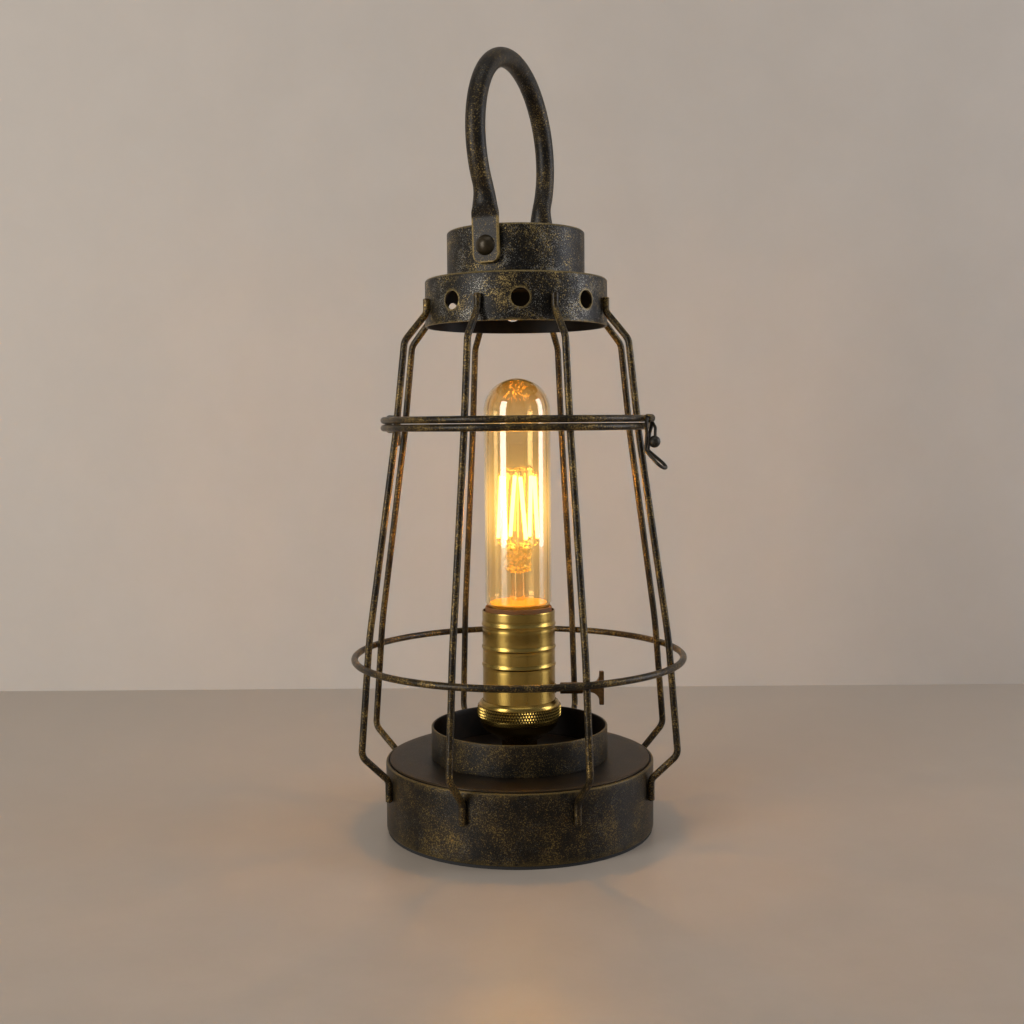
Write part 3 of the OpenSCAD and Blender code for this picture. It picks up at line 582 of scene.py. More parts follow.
FINISHES: dict[Slot, Finish] = {
    Slot.PAINTED_STEEL: ENAMEL,
    Slot.DARK_STEEL: BLACK_ENAMEL,
    Slot.ZINC_STEEL: ZINC,
    Slot.BRASS: BRASS,
    Slot.NICKEL: NICKEL,
    Slot.SWITCH_BRONZE: OILED_BRONZE,
    Slot.LINER: BOARD,
    Slot.PHENOLIC: PHENOLIC,
    Slot.RUBBER: RUBBER,
    Slot.BLACK_GLASS: VITRITE,
    Slot.AMBER_GLASS: BULB_GLASS,
    Slot.CLEAR_GLASS: STEM_GLASS,
    Slot.FILAMENT: PHOSPHOR,
}


# ---- surfaces ----


@dataclass
class Shell:
    """A surface in millimetres: points, four-cornered faces, and a value per point: how worn it is, or on the
    knurled ring how far it lies from the painted groove shade.
    """

    points: Array
    faces: Array
    wear_and_shade: Array

    def __add__(self, other: "Shell") -> "Shell":
        """Returns both surfaces as one."""
        return Shell(
            np.vstack([self.points, other.points]),
            np.vstack([self.faces, other.faces + len(self.points)]),
            np.concatenate([self.wear_and_shade, other.wear_and_shade]),
        )

    def at(self, compass: float) -> "Shell":
        """Turns a surface drawn outwards along +X to a compass angle."""
        a = math.radians(compass - 90)
        turn = np.array([[math.cos(a), math.sin(a), 0], [-math.sin(a), math.cos(a), 0], [0, 0, 1]])
        return Shell(self.points @ turn, self.faces, self.wear_and_shade)

    def moved(self, x: float, y: float, z: float) -> "Shell":
        """Moves the surface."""
        return Shell(self.points + np.array([x, y, z]), self.faces, self.wear_and_shade)

    def lying(self) -> "Shell":
        """Lays a surface made round +Z down, so that it runs along +X."""
        p = self.points
        return Shell(np.stack([p[:, 2], p[:, 1], -p[:, 0]], 1), self.faces, self.wear_and_shade)


def grid_shell(points: Array, wrap_rows: bool, wrap_columns: bool, wear_and_shade: Array | float = 0.0) -> Shell:
    """Joins a grid of points into faces.

    Args:
        points: rows by columns by 3.
        wrap_rows: whether the last row joins the first.
        wrap_columns: whether the last column joins the first.
        wear_and_shade: how worn each point is, or how far it lies from painted groove shade; or one value for
            all.

    Returns:
        The surface.
    """
    rows, columns = points.shape[:2]
    index = np.arange(rows * columns).reshape(rows, columns)
    if wrap_rows:
        index = np.vstack([index, index[:1]])
    if wrap_columns:
        index = np.hstack([index, index[:, :1]])
    faces = np.stack([index[:-1, :-1], index[1:, :-1], index[1:, 1:], index[:-1, 1:]], -1)
    values = np.broadcast_to(np.asarray(wear_and_shade, float), (rows, columns))
    return Shell(points.reshape(-1, 3), faces.reshape(-1, 4), values.reshape(-1).copy())


def rounded(corners: Path, radii: Sequence[float], steps: int = 5, loop: bool = False) -> Array:
    """Rounds the corners of a path: each becomes an arc that touches both its sides.

    Args:
        corners: the path's corners, in two or three dimensions.
        radii: one radius per corner; 0 leaves it sharp.
        steps: points on each arc.
        loop: whether the path closes on itself.

    Returns:
        The points of the rounded path.
    """
    path = np.asarray(corners, float)
    before, after = np.roll(path, 1, 0), np.roll(path, -1, 0)
    pieces = []
    for i, (radius, corner) in enumerate(zip(radii, path)):
        end = not loop and i in (0, len(path) - 1)
        a, b = corner - before[i], after[i] - corner
        a, b = a / max(np.linalg.norm(a), 1e-9), b / max(np.linalg.norm(b), 1e-9)
        turn = math.acos(float(np.clip(a @ b, -1, 1)))
        if end or radius <= 0 or turn < 1e-4:
            pieces.append(corner[None, :])
            continue
        side = (b - a * (a @ b)) / math.sin(turn)
        start = corner - a * radius * math.tan(turn / 2)
        angles = np.linspace(0, turn, steps)[:, None]
        pieces.append(start + radius * (np.sin(angles) * a + (1 - np.cos(angles)) * side))
    return np.vstack(pieces)


def divided(path: Array, spacing: float, loop: bool = False) -> Array:
    """Adds points to a path so that none are further apart than the spacing, and keeps its own."""
    ends = np.vstack([path, path[:1]]) if loop else path
    pieces = [
        np.linspace(a, b, max(1, math.ceil(np.linalg.norm(b - a) / spacing)), endpoint=False)
        for a, b in zip(ends[:-1], ends[1:])
    ]
    return np.vstack(pieces if loop else pieces + [ends[-1:]])


def edge_rub(profile: Array, edges: Iterable[tuple[float, float]], width: float) -> Array:
    """Works out how rubbed a profile is: 1 at each edge point, fading out over the width.

    Args:
        profile: radius and height of each point.
        edges: the radius and height of each rubbed edge.
        width: the distance at which the rub has gone.

    Returns:
        One value per point of the profile.
    """
    away = np.min([np.hypot(*(profile - np.array(edge)).T) for edge in edges], axis=0)
    return np.clip(1 - away / width, 0, 1)


def revolve(
    profile: Array, around: int = 192, loop: bool = True, wear_and_shade: Array | float = 0.0, start: float = 0.0
) -> Shell:
    """Turns a profile round the Z axis: x = r cos(a), y = r sin(a), z as it is.

    Args:
        profile: radius and height of each point.
        around: steps round the axis.
        loop: whether the profile closes on itself.
        wear_and_shade: one value per point of the profile, or one for all.
        start: the compass angle of the first step.

    Returns:
        The surface.
    """
    a = np.radians(start - 90) + np.linspace(0, 2 * np.pi, around, endpoint=False)[:, None]
    r, z = profile[:, 0][None, :], profile[:, 1][None, :]
    points = np.stack([r * np.cos(a), r * np.sin(a), np.broadcast_to(z, (around, len(profile)))], -1)
    return grid_shell(points, True, loop, np.broadcast_to(np.asarray(wear_and_shade, float), (len(profile),)))


def loft(
    path: Array,
    side: Array,
    half_width: Array | float,
    half_thick: Array | float,
    power: Array | float = 2.0,
    around: int = 20,
    loop: bool = False,
    edge: Array | float = 0.0,
) -> Shell:
    """Carries a rounded section along a path.

    The section is x = w |cos|^(2/p), y = t |sin|^(2/p): round at p = 2, near a rectangle
    at p = 10. The ends close to a point.

    Args:
        path: the points of the centre line.
        side: one direction per point, or one for all, across the path, for the width.
        half_width: half the section's width, per point or for all.
        half_thick: half its thickness, per point or for all.
        power: the section's squareness, per point or for all.
        around: points round the section.
        loop: whether the path closes on itself.
        edge: how rubbed the section's two narrow edges are, per point or for all.

    Returns:
        The surface.
    """
    count = len(path)
    ahead = np.roll(path, -1, 0) - np.roll(path, 1, 0) if loop else np.gradient(path, axis=0)
    ahead /= np.linalg.norm(ahead, axis=1, keepdims=True)
    across = np.broadcast_to(np.asarray(side, float), (count, 3))
    across = across - ahead * np.sum(across * ahead, 1, keepdims=True)
    across = across / np.linalg.norm(across, axis=1, keepdims=True)
    up = np.cross(ahead, across)
    a = np.linspace(0, 2 * np.pi, around, endpoint=False)[None, :]
    sizes = (half_width, half_thick, power)
    w, t, p = (np.broadcast_to(np.asarray(size, float), (count,))[:, None] for size in sizes)
    u = w * np.sign(np.cos(a)) * np.abs(np.cos(a)) ** (2 / p)
    v = t * np.sign(np.sin(a)) * np.abs(np.sin(a)) ** (2 / p)
    points = path[:, None, :] + u[..., None] * across[:, None, :] + v[..., None] * up[:, None, :]
    share = np.broadcast_to(np.asarray(edge, float), (count,))[:, None]
    wear_and_shade = share * np.clip((np.abs(u) / np.maximum(w, 1e-6) - 0.84) / 0.12, 0, 1)
    if not loop:
        first, last = np.repeat(path[:1, None], around, 1), np.repeat(path[-1:, None], around, 1)
        points = np.concatenate([first, points, last])
        wear_and_shade = np.concatenate([wear_and_shade[:1], wear_and_shade, wear_and_shade[-1:]])
    return grid_shell(points, loop, True, wear_and_shade)


def wire(corners: Path, radii: Sequence[float], diameter: float, side: Sequence[float]) -> Shell:
    """Draws a round wire along a rounded path, with its cut ends slightly eased.

    Args:
        corners: the corners of its centre line.
        radii: the bend at each corner.
        diameter: the wire's diameter.
        side: the direction across the plane of the bends.

    Returns:
        The surface.
    """
    ease = diameter * 0.12
    path = divided(rounded(corners, radii, 9), 3.0)
    ends = [path[0], path[-1]]
    inward = [path[1] - path[0], path[-2] - path[-1]]
    steps = [ends[i] + inward[i] / np.linalg.norm(inward[i]) * ease for i in (0, 1)]
    path = np.vstack([ends[0], steps[0], path[1:-1], steps[1], ends[1]])
    radius = np.full(len(path), diameter / 2)
    radius[[0, -1]] -= ease
    return loft(path, np.asarray(side, float), radius, radius)


def wire_ring(radius: float, height: float, diameter: float) -> Shell:
    """Returns a closed ring of round wire round the Z axis."""
    a = np.linspace(0, 2 * np.pi, 20, endpoint=False)
    profile = np.stack([radius + diameter / 2 * np.cos(a), height + diameter / 2 * np.sin(a)], 1)
    return revolve(profile, 240)


def holed_wall(
    radius: float,
    low: float,
    high: float,
    sectors: int,
    holed: Sequence[int],
    first: float,
    hole_z: float,
    hole_r: float,
) -> tuple[Shell, Array]:
    """Makes a cylinder's wall in sectors, some with a round hole in their middle.

    Round a hole the grid runs from the hole's rim, a circle, out to the sector's border,
    a rectangle: point = rim + (border - rim) s, with s from 0 to 1.

    Args:
        radius: the cylinder's radius.
        low: its lower edge.
        high: its upper edge.
        sectors: how many sectors it has.
        holed: the numbers of the sectors with a hole.
        first: the compass angle of the middle of sector 0.
        hole_z: the height of the holes' middle.
        hole_r: the holes' radius.

    Returns:
        The wall, and the points of the holes' rims.
    """
    across, tall, rings, crowding, rub_width = 24, 12, 7, 1.3, 0.9
    half = math.pi * radius / sectors
    xs, zs = np.linspace(-half, half, across + 1), np.linspace(low, high, tall + 1)
    border = np.vstack(
        [
            np.stack([xs[:-1], np.full(across, low)], 1),
            np.stack([np.full(tall, half), zs[:-1]], 1),
            np.stack([xs[:0:-1], np.full(across, high)], 1),
            np.stack([np.full(tall, -half), zs[:0:-1]], 1),
        ]
    )
    aim = np.arctan2(border[:, 1] - hole_z, border[:, 0])
    rim = np.stack([hole_r * np.cos(aim), hole_z + hole_r * np.sin(aim)], 1)
    s = (np.linspace(0, 1, rings + 1) ** crowding)[:, None, None]
    patch = rim[None] + (border - rim)[None] * s
    plain = np.stack(np.meshgrid(xs, zs), -1)
    shells, rims = None, []
    for k in range(sectors):
        flat = patch if k in holed else plain
        wear_and_shade = np.zeros(flat.shape[:2])
        if k in holed:
            away = np.hypot(flat[..., 0], flat[..., 1] - hole_z) - hole_r
            wear_and_shade = np.clip(1 - away / rub_width, 0, 1)
        angle = math.radians(first + k * 360 / sectors) + flat[..., 0] / radius
        points = np.stack([radius * np.sin(angle), -radius * np.cos(angle), flat[..., 1]], -1)
        shell = grid_shell(points, False, k in holed, wear_and_shade)
        shells = shell if shells is None else shells + shell
        if k in holed:
            rims.append(points[0])
    return shells, np.array(rims)


def make_piece(
    name: str, shell: Shell, body: Body, slot: Slot, nodes: Sequence[str], finish: Finish | None = None
) -> bpy.types.Object:
    """Makes a surface into an object that rides on a body and stands for CAD nodes.

    Args:
        name: the piece's name.
        shell: its surface.
        body: the body it rides on.
        slot: the record's slot it takes its finish from.
        nodes: the CAD nodes it stands for.
        finish: another finish than the slot's own.

    Returns:
        The object.
    """
    mesh = bpy.data.meshes.new(name)
    mesh.from_pydata((shell.points * MM).tolist(), [], shell.faces.tolist())
    mesh.attributes.new("wear_and_shade", "FLOAT", "POINT").data.foreach_set("value", shell.wear_and_shade.astype(np.float32))
    work = bmesh.new()
    work.from_mesh(mesh)
    bmesh.ops.remove_doubles(work, verts=work.verts, dist=0.002 * MM)
    bmesh.ops.dissolve_degenerate(work, edges=work.edges, dist=0.0005 * MM)
    bmesh.ops.recalc_face_normals(work, faces=work.faces)
    work.to_mesh(mesh)
    work.free()
    mesh.polygons.foreach_set("use_smooth", np.ones(len(mesh.polygons), bool))
    mesh.set_sharp_from_angle(angle=SHARP_EDGE)
    mesh.materials.append((finish or FINISHES[slot]).material())
    piece = bpy.data.objects.new(name, mesh)
    bpy.context.scene.collection.objects.link(piece)
    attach(piece, body.value)
    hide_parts(*nodes)
    LOG.info("%s: %d faces on %s", name, len(mesh.polygons), body.value)
    return piece


# ---- the lamp's sub-assemblies ----


@dataclass
class DrumBase:
    """The folded drum with its inset top plate and the open collar."""

    radius: float = 70.2
    wall: float = 1.2
    low: float = 1.6
    high: float = 36.8
    bead: float = 0.9
    lip_radius: float = 54.2
    seat_radius: float = 63.1
    seat_z: float = 36.2
    plate_radius: float = 68.1
    plate_hole: float = 5.1
    plate_t: float = 1.4
    collar_radius: float = 46.3
    collar_wall: float = 1.2
    collar_h: float = 16.4
    cord_z: float = 15.0
    cord_hole: float = 5.1

    def drum(self) -> Shell:
        """The drum: a wall with the cord's hole in the rear, a lip below and a rolled bead on top."""
        sectors, outer = 9, self.radius
        inner, start = self.radius - self.wall, 180 - 20.0
        wall_low, wall_high = self.low + 0.6, self.high - self.bead
        skin, rims = holed_wall(outer, wall_low, wall_high, sectors, [0], 180, self.cord_z, self.cord_hole)
        back, inner_rims = holed_wall(
            inner, self.low + self.wall, wall_high, sectors, [0], 180, self.cord_z, self.cord_hole
        )
        bore = grid_shell(np.stack([rims[0], inner_rims[0]]), False, True, 0.3)
        around = sectors * 24
        lower = rounded(
            [
                [outer, wall_low],
                [outer, self.low],
                [self.lip_radius, self.low],
                [self.lip_radius, self.low + self.wall],
                [inner, self.low + self.wall],
            ],
            [0, 0.6, 0.2, 0.2, 0],
            5,
        )
        a = np.linspace(0, np.pi, 13)
        roll = np.stack(
            [outer - self.bead + self.bead * np.cos(a), self.high - self.bead + self.bead * np.sin(a)], 1
        )
        under = rounded(
            [
                [outer - 2 * self.bead, self.high - self.bead],
                [self.seat_radius, self.seat_z - 0.15],
                [self.seat_radius, self.seat_z - self.wall],
                [inner, self.seat_z - self.wall],
                [inner, wall_high],
            ],
            [0, 0.3, 0.3, 0, 0],
            4,
        )
        upper = np.vstack([roll, under[1:]])
        upper[-1] = [inner, wall_high]
        low_rub = edge_rub(lower, [(outer, self.low)], 1.0)
        top_rub = edge_rub(upper, [(outer - 0.3, self.high - 0.2), (outer - 1.0, self.high)], 1.1)
        return (
            skin
            + back
            + bore
            + revolve(lower, around, False, low_rub, start)
            + revolve(upper, around, False, top_rub, start)
        )

    def top_plate(self) -> Shell:
        """The inset plate, with its outer edge rounded."""
        low, high = self.seat_z + 0.05, self.seat_z + self.plate_t
        corners = [
            [self.plate_hole, low],
            [self.plate_radius, low],
            [self.plate_radius, high],
            [self.plate_hole, high],
        ]
        profile = divided(rounded(corners, [0, 0.2, 0.6, 0], 6, True), 4.0, True)
        return revolve(profile, 216, True, edge_rub(profile, [(self.plate_radius - 0.2, high - 0.1)], 1.2))

    def collar(self) -> Shell:
        """The open ring round the lamp holder, with its rim eased by hand."""
        low = self.seat_z + self.plate_t + 0.05
        high = low + self.collar_h - 0.05
        inner = self.collar_radius - self.collar_wall
        corners = [[self.collar_radius, low], [self.collar_radius, high], [inner, high], [inner, low]]
        profile = divided(rounded(corners, [0.1, 0.5, 0.5, 0.1], 5, True), 2.0, True)
        return revolve(profile, 192, True, edge_rub(profile, [((self.collar_radius + inner) / 2, high)], 1.0))

    def build(self) -> None:
        """Makes the pieces."""
        make_piece("drum", self.drum(), Body.BASE, Slot.PAINTED_STEEL, ["base_drum"], DRUM_ENAMEL)
        plate = self.top_plate()
        make_piece("top_plate", plate, Body.BASE, Slot.PAINTED_STEEL, ["base_top_plate"], PLATE_ENAMEL)
        make_piece("collar", self.collar(), Body.BASE, Slot.PAINTED_STEEL, ["base_collar"], DRUM_ENAMEL)


@dataclass
class LampHolder:
    """The brass holder: cup, knurled ring, beaded shell, and the sleeve inside it."""

    shell_radius: float = 19.0
    shell_wall: float = 0.6
    shell_low: float = 58.6
    shell_high: float = 114.5
    beads: tuple[float, ...] = (107.5, 95.4, 86.1)
    bead_proud: float = 0.42
    bead_half: float = 0.75
    dip: float = 0.05
    dip_away: float = 1.9
    dip_half: float = 0.7
    cup_low: float = 45.1
    cup_high: float = 58.1
    cup_radius: float = 20.6
    ring_low: float = 58.15
    ring_high: float = 67.35
    ring_radius: float = 22.0
    ring_step: float = 0.9
    ring_curve: float = 2.6
    knurl_low: float = 59.15
    knurl_high: float = 64.65
    knurl_depth: float = 0.62
    diamonds: int = 92
    rows: float = 1.76
    liner_low: float = 64.6
    liner_lip: float = 17.4
    liner_high: float = 116.6

    def shell(self) -> Shell:
        """The shell: radius = plain radius + beads, each a smooth swelling."""
        z = np.linspace(self.shell_low, self.shell_high - 0.3, 220)
        edges = [bead + side * self.dip_away for bead in self.beads for side in (-1, 1)]
        swell = sum(self.bead_proud * np.exp(-(((z - bead) / self.bead_half) ** 2)) for bead in self.beads)
        dip = sum(self.dip * np.exp(-(((z - edge) / self.dip_half) ** 2)) for edge in edges)
        outer = np.stack([self.shell_radius + swell - dip, z], 1)
        inner = np.stack([self.shell_radius - self.shell_wall + (swell - dip) * 0.9, z], 1)[::-1]
        lip = [[self.shell_radius - 0.1, self.shell_high], [self.shell_radius - 0.5, self.shell_high]]
        return revolve(np.vstack([outer, lip, inner]), 160)

    def cup(self) -> Shell:
        """The spun cup under the ring: a cone from the hub to the shoulder."""
        wall, hub = 0.9, 8.6
        shoulder_z = self.cup_high - 2.1
        outer = rounded(
            [
                [5.0, self.cup_low],
                [hub, self.cup_low],
                [18.6, self.cup_high - 6.1],
                [self.cup_radius, shoulder_z],
                [self.cup_radius, self.cup_high],
            ],
            [0, 0.8, 5.0, 1.5, 0],
            8,
        )
        inner = rounded(
            [
                [self.cup_radius - wall, self.cup_high],
                [self.cup_radius - wall, shoulder_z],
                [18.0, self.cup_high - 5.2],
                [hub - 0.4, self.cup_low + wall + 0.4],
                [5.0, self.cup_low + wall + 0.4],
            ],
            [0, 1.0, 4.0, 0.8, 0],
            8,
        )
        return revolve(np.vstack([outer, inner]), 160)

    def ring(self) -> Shell:
        """The knurled ring: pyramids where two sets of slanting grooves cross.

        Depth = d max(|2 frac(u + v) - 1|, |2 frac(u - v) - 1|), with u counting diamonds
        round the ring and v up it. The middle row's points are at v = 1.
        """
        steps, tall = self.diamonds * 10, 34
        bore, waist = self.shell_radius + 0.15, self.ring_radius - self.ring_step
        low, high = self.knurl_low, self.knurl_high
        u = np.linspace(0, self.diamonds, steps, endpoint=False)[:, None]
        v = np.linspace(1 - self.rows / 2, 1 + self.rows / 2, tall)[None, :]
        groove = np.maximum(np.abs(2 * ((u + v) % 1) - 1), np.abs(2 * ((u - v) % 1) - 1))
        radius = self.ring_radius - self.knurl_depth * groove
        z = np.broadcast_to(np.linspace(low, high, tall)[None, :], radius.shape)
        a = np.radians(np.linspace(0, 68, 9))
        curve = self.ring_curve
        above = np.stack([waist - curve + curve * np.cos(a), high + 0.1 + curve * np.sin(a)], 1)
        rest = np.vstack(
            [
                [[self.ring_radius - 0.7, high + 0.02], [waist, high + 0.04]],
                above,
                [[bore + 0.1, self.ring_high], [bore, self.ring_high - 0.1], [bore, self.ring_low]],
                [[waist - 0.1, self.ring_low], [waist, self.ring_low + 0.1], [waist, low - 0.3]],
                [[self.ring_radius - 0.7, low - 0.28]],
            ]
        )
        radius = np.hstack([radius, np.broadcast_to(rest[:, 0], (steps, len(rest)))])
        z = np.hstack([z, np.broadcast_to(rest[:, 1], (steps, len(rest)))])
        a = np.linspace(0, 2 * np.pi, steps, endpoint=False)[:, None]
        shell = grid_shell(np.stack([radius * np.cos(a), radius * np.sin(a), z], -1), True, True)
        # Painted shade: the point value is 1 on the diamonds' points and falls to 0 at the bottoms of the
        # grooves, where the finish darkens.
        shell.wear_and_shade = np.hstack([1 - groove, np.ones((steps, len(rest)))]).ravel()
        return shell

    def liner(self) -> Shell:
        """The insulating sleeve, drawn in above the shell to a lip that shows."""
        wall, body, step = 1.1, 18.35, self.shell_high - 1.2
        inner = body - wall
        corners = [
            [inner, self.liner_low],
            [body, self.liner_low],
            [body, step],
            [self.liner_lip, step],
            [self.liner_lip, self.liner_high],
            [self.liner_lip - wall, self.liner_high],
            [self.liner_lip - wall, step - wall],
            [inner, step - wall],
        ]
        return revolve(rounded(corners, [0, 0, 0.3, 0.3, 0.45, 0.35, 0.2, 0.2], 6, True), 144)

    def build(self) -> None:
        """Makes the pieces."""
        make_piece("holder_shell", self.shell(), Body.BASE, Slot.BRASS, ["socket_shell"])
        make_piece("holder_cup", self.cup(), Body.BASE, Slot.BRASS, ["socket_cap"])
        make_piece("holder_ring", self.ring(), Body.BASE, Slot.BRASS, ["knurled_ring"], KNURLED_BRASS)
        make_piece("holder_sleeve", self.liner(), Body.BASE, Slot.LINER, ["socket_liner"])


@dataclass
class SwitchKey:
    """The key on the switch's stem: a round sleeve, a flat blade, and the cross bar it flares into."""

    axis_z: float = 72.7
    start: float = 21.55
    sleeve: float = 33.5
    sleeve_r: float = 3.0
    reach: float = 44.6
    bar: float = 2.5
    height: float = 17.8
    thick: float = 3.2
    blade_half: float = 2.2
    flare: float = 4.9

    def build(self) -> None:
        """Makes the key: half height = blade, then a quarter circle out, then the square bar."""
        edge, bar_x = 0.4, self.reach - self.bar
        root = bar_x - self.flare
        a = np.linspace(0, np.pi / 2, 20)
        x = np.concatenate(
            [
                np.linspace(self.sleeve - 0.5, root, 6, endpoint=False),
                root + self.flare * np.sin(a),
                bar_x + np.array([0.02, 0.12, edge, self.bar / 2]),
                self.reach - np.array([edge, 0.12, 0]),
            ]
        )
        half = self.height / 2
        tall = np.concatenate(
            [
                np.full(6, self.blade_half),
                self.blade_half + self.flare * (1 - np.cos(a)),
                half - np.array([edge, 0.14, 0, 0, 0, 0.14, edge]),
            ]
        )
        thick = np.full_like(x, self.thick / 2)
        thick[-2:] -= [0.08, 0.3]
        path = np.stack([x, np.zeros_like(x), np.full_like(x, self.axis_z)], 1)
        blade = loft(path, [0, 0, 1], tall, thick, 12.0, 48, False, 0.6)
        corners = [
            [0, self.start],
            [self.sleeve_r, self.start],
            [self.sleeve_r, self.sleeve],
            [0, self.sleeve],
        ]
        sleeve = revolve(rounded(corners, [0, 0.4, 0.5, 0], 6), 48, False).lying().moved(0, 0, self.axis_z)
        make_piece("key_blade", blade + sleeve, Body.KEY, Slot.SWITCH_BRONZE, ["switch_key"])


@dataclass
class TubularBulb:
    """The bulb: a tall glass tube with a round top, lit sticks on a wire frame, and a screw cap."""

    radius: float = 17.3
    wall: float = 0.9
    neck_radius: float = 12.4
    neck_z: float = 100.1
    glass_z: float = 113.3
    top: float = 235.3
    flare_h: float = 6.0
    cap_radius: float = 13.1
    cap_low: float = 91.1
    cap_len: float = 21.0
    cap_wall: float = 0.35
    pitch: float = 3.63
    thread_len: float = 16.0
    thread_depth: float = 0.75
    stem_top: float = 148.3
    stem_r: float = 3.6
    skirt_r: float = 15.0
    skirt_z: float = 118.3
    bead_r: float = 7.3
    bead_z: float = 133.8
    stick_low: float = 150.3
    stick_len: float = 36.0
    stick_r: float = 1.05
    ferrule_r: float = 0.6
    ferrule: float = 0.05
    mast_r: float = 0.45
    hoop_r: float = 0.3
    lead: float = 0.5
    low_r: float = 10.4
    high_r: float = 9.2
    first: float = -66.0
    twist: float = -16.0
    sticks: int = 6
    low_hoop: tuple[float, float] = (6.2, 148.9)
    high_hoop: tuple[float, float] = (5.2, 188.0)

    def outline(self, inset: float) -> Array:
        """The glass wall's outline, moved inwards: neck, a flare of half a cosine wave, tube, dome."""
        u = np.linspace(0, 1, 15)[1:]
        flare_r = self.neck_radius - inset + (self.radius - self.neck_radius) * (1 - np.cos(np.pi * u)) / 2
        flare = np.stack([flare_r, self.glass_z + self.flare_h * u], 1)
        a = np.linspace(0, np.pi / 2, 40)
        r = self.radius - inset
        dome = np.stack([r * np.cos(a), self.top - self.radius + r * np.sin(a)], 1)
        neck = np.array([[self.neck_radius - inset, self.neck_z], [self.neck_radius - inset, self.glass_z]])
        tube = divided(np.vstack([flare[-1], dome[0]]), 4.0)[1:-1]
        return np.vstack([divided(neck, 2.0), flare, tube, dome])

    def glass(self) -> Shell:
        """The blown wall with its inner face."""
        return revolve(np.vstack([self.outline(0), self.outline(self.wall)[::-1]]), 128)

    def cap(self) -> Shell:
        """The rolled screw cap: radius = crest - depth (1 + cos(2 pi (z / pitch - turn))) / 2."""
        steps, z = 120, np.linspace(self.cap_low, self.cap_low + self.cap_len, 110)[None, :]
        turn = np.linspace(0, 1, steps, endpoint=False)[:, None]
        start, stop = self.cap_low, self.cap_low + self.thread_len
        depth = self.thread_depth * np.clip((z - start) / 2, 0, 1) * np.clip((stop - z) / 1.5, 0, 1)
        outer = self.cap_radius - 0.02 - depth * (1 + np.cos(2 * np.pi * (z / self.pitch - turn))) / 2
        inner = (outer - self.cap_wall)[:, ::-1]
        z = np.broadcast_to(z, outer.shape)
        radius, height = np.hstack([outer, inner]), np.hstack([z, z[:, ::-1]])
        a = 2 * np.pi * turn
        return grid_shell(np.stack([radius * np.cos(a), radius * np.sin(a), height], -1), True, True)

    def stem(self) -> Shell:
        """The clear foot: a plug in the neck that draws in to a slim tube."""
        seat = self.neck_radius - self.wall - 0.1
        corners = [
            [0.0, self.neck_z],
            [seat, self.neck_z],
            [seat, self.neck_z + 1.5],
            [self.stem_r, self.neck_z + 12],
            [self.stem_r, self.bead_z + 1],
            [0.0, self.bead_z + 1],
        ]
        return revolve(rounded(corners, [0, 0.5, 1.5, 9, 0.2, 0], 7), 64, False)

    def skirt(self) -> Shell:
        """The skirt over the glass's shoulder, a thin dish round the tube that glows as painted light."""
        corners = [
            [self.stem_r - 0.2, self.skirt_z - 1.8],
            [self.skirt_r, self.skirt_z],
            [self.skirt_r, self.skirt_z + 0.6],
            [self.stem_r - 0.2, self.skirt_z + 1.5],
        ]
        return revolve(divided(rounded(corners, [0, 0.25, 0.25, 0], 5, True), 1.5, True), 96)

    def bead(self) -> Shell:
        """The thick pressed bead, crumpled where it was pinched round the wires.

        Radius = plain radius x (1 + sum of waves round and up it), less at both ends.
        """
        z = np.linspace(0, 1, 46)[None, :]
        a = np.linspace(0, 2 * np.pi, 120, endpoint=False)[:, None]
        body = np.clip(np.minimum(z / 0.16, (1 - z) / 0.1), 0, 1)
        plain = self.stem_r * 0.3 + (self.bead_r - self.stem_r * 0.3) * np.sqrt(1 - (1 - body) ** 2)
        waves = (
            0.050 * np.sin(3 * a + 9 * z + 1.0)
            + 0.045 * np.sin(5 * a - 17 * z + 2.2)
            + 0.035 * np.sin(8 * a + 26 * z)
            + 0.022 * np.sin(13 * a - 38 * z + 0.7)
        )
        radius = plain * (0.93 + waves * body)
        height = self.bead_z + (self.stem_top - self.bead_z) * z + 0 * a
        wall = np.stack([radius * np.cos(a), radius * np.sin(a), height], -1)
        foot = np.broadcast_to(np.array([0, 0, self.bead_z]), (120, 1, 3))
        top = np.broadcast_to(np.array([0, 0, self.stem_top]), (120, 1, 3))
        return grid_shell(np.concatenate([foot, wall, top], 1), True, False)

    def ends(self, k: int) -> tuple[Array, Array]:
        """The two ends of a stick."""
        a = math.radians(self.first + k * 360 / self.sticks)
        b = a + math.radians(self.twist)
        low = np.array([self.low_r * math.cos(a), self.low_r * math.sin(a), self.stick_low])
        top = self.stick_low + self.stick_len
        high = np.array([self.high_r * math.cos(b), self.high_r * math.sin(b), top])
        return low, high

    def stick(self, k: int, start: float, stop: float, radius: float) -> Shell:
        """A stick, or its end ferrule, between two shares of its length."""
        low, high = self.ends(k)
        u = np.array([0, 0.015, 0.04, 0.25, 0.5, 0.75, 0.96, 0.985, 1])[:, None]
        path = low + (high - low) * (start + (stop - start) * u)
        r = np.full(len(path), radius)
        r[[0, -1]] *= 0.7
        return loft(path, [1, 0.2, 0], r, r, 2.0, 14)

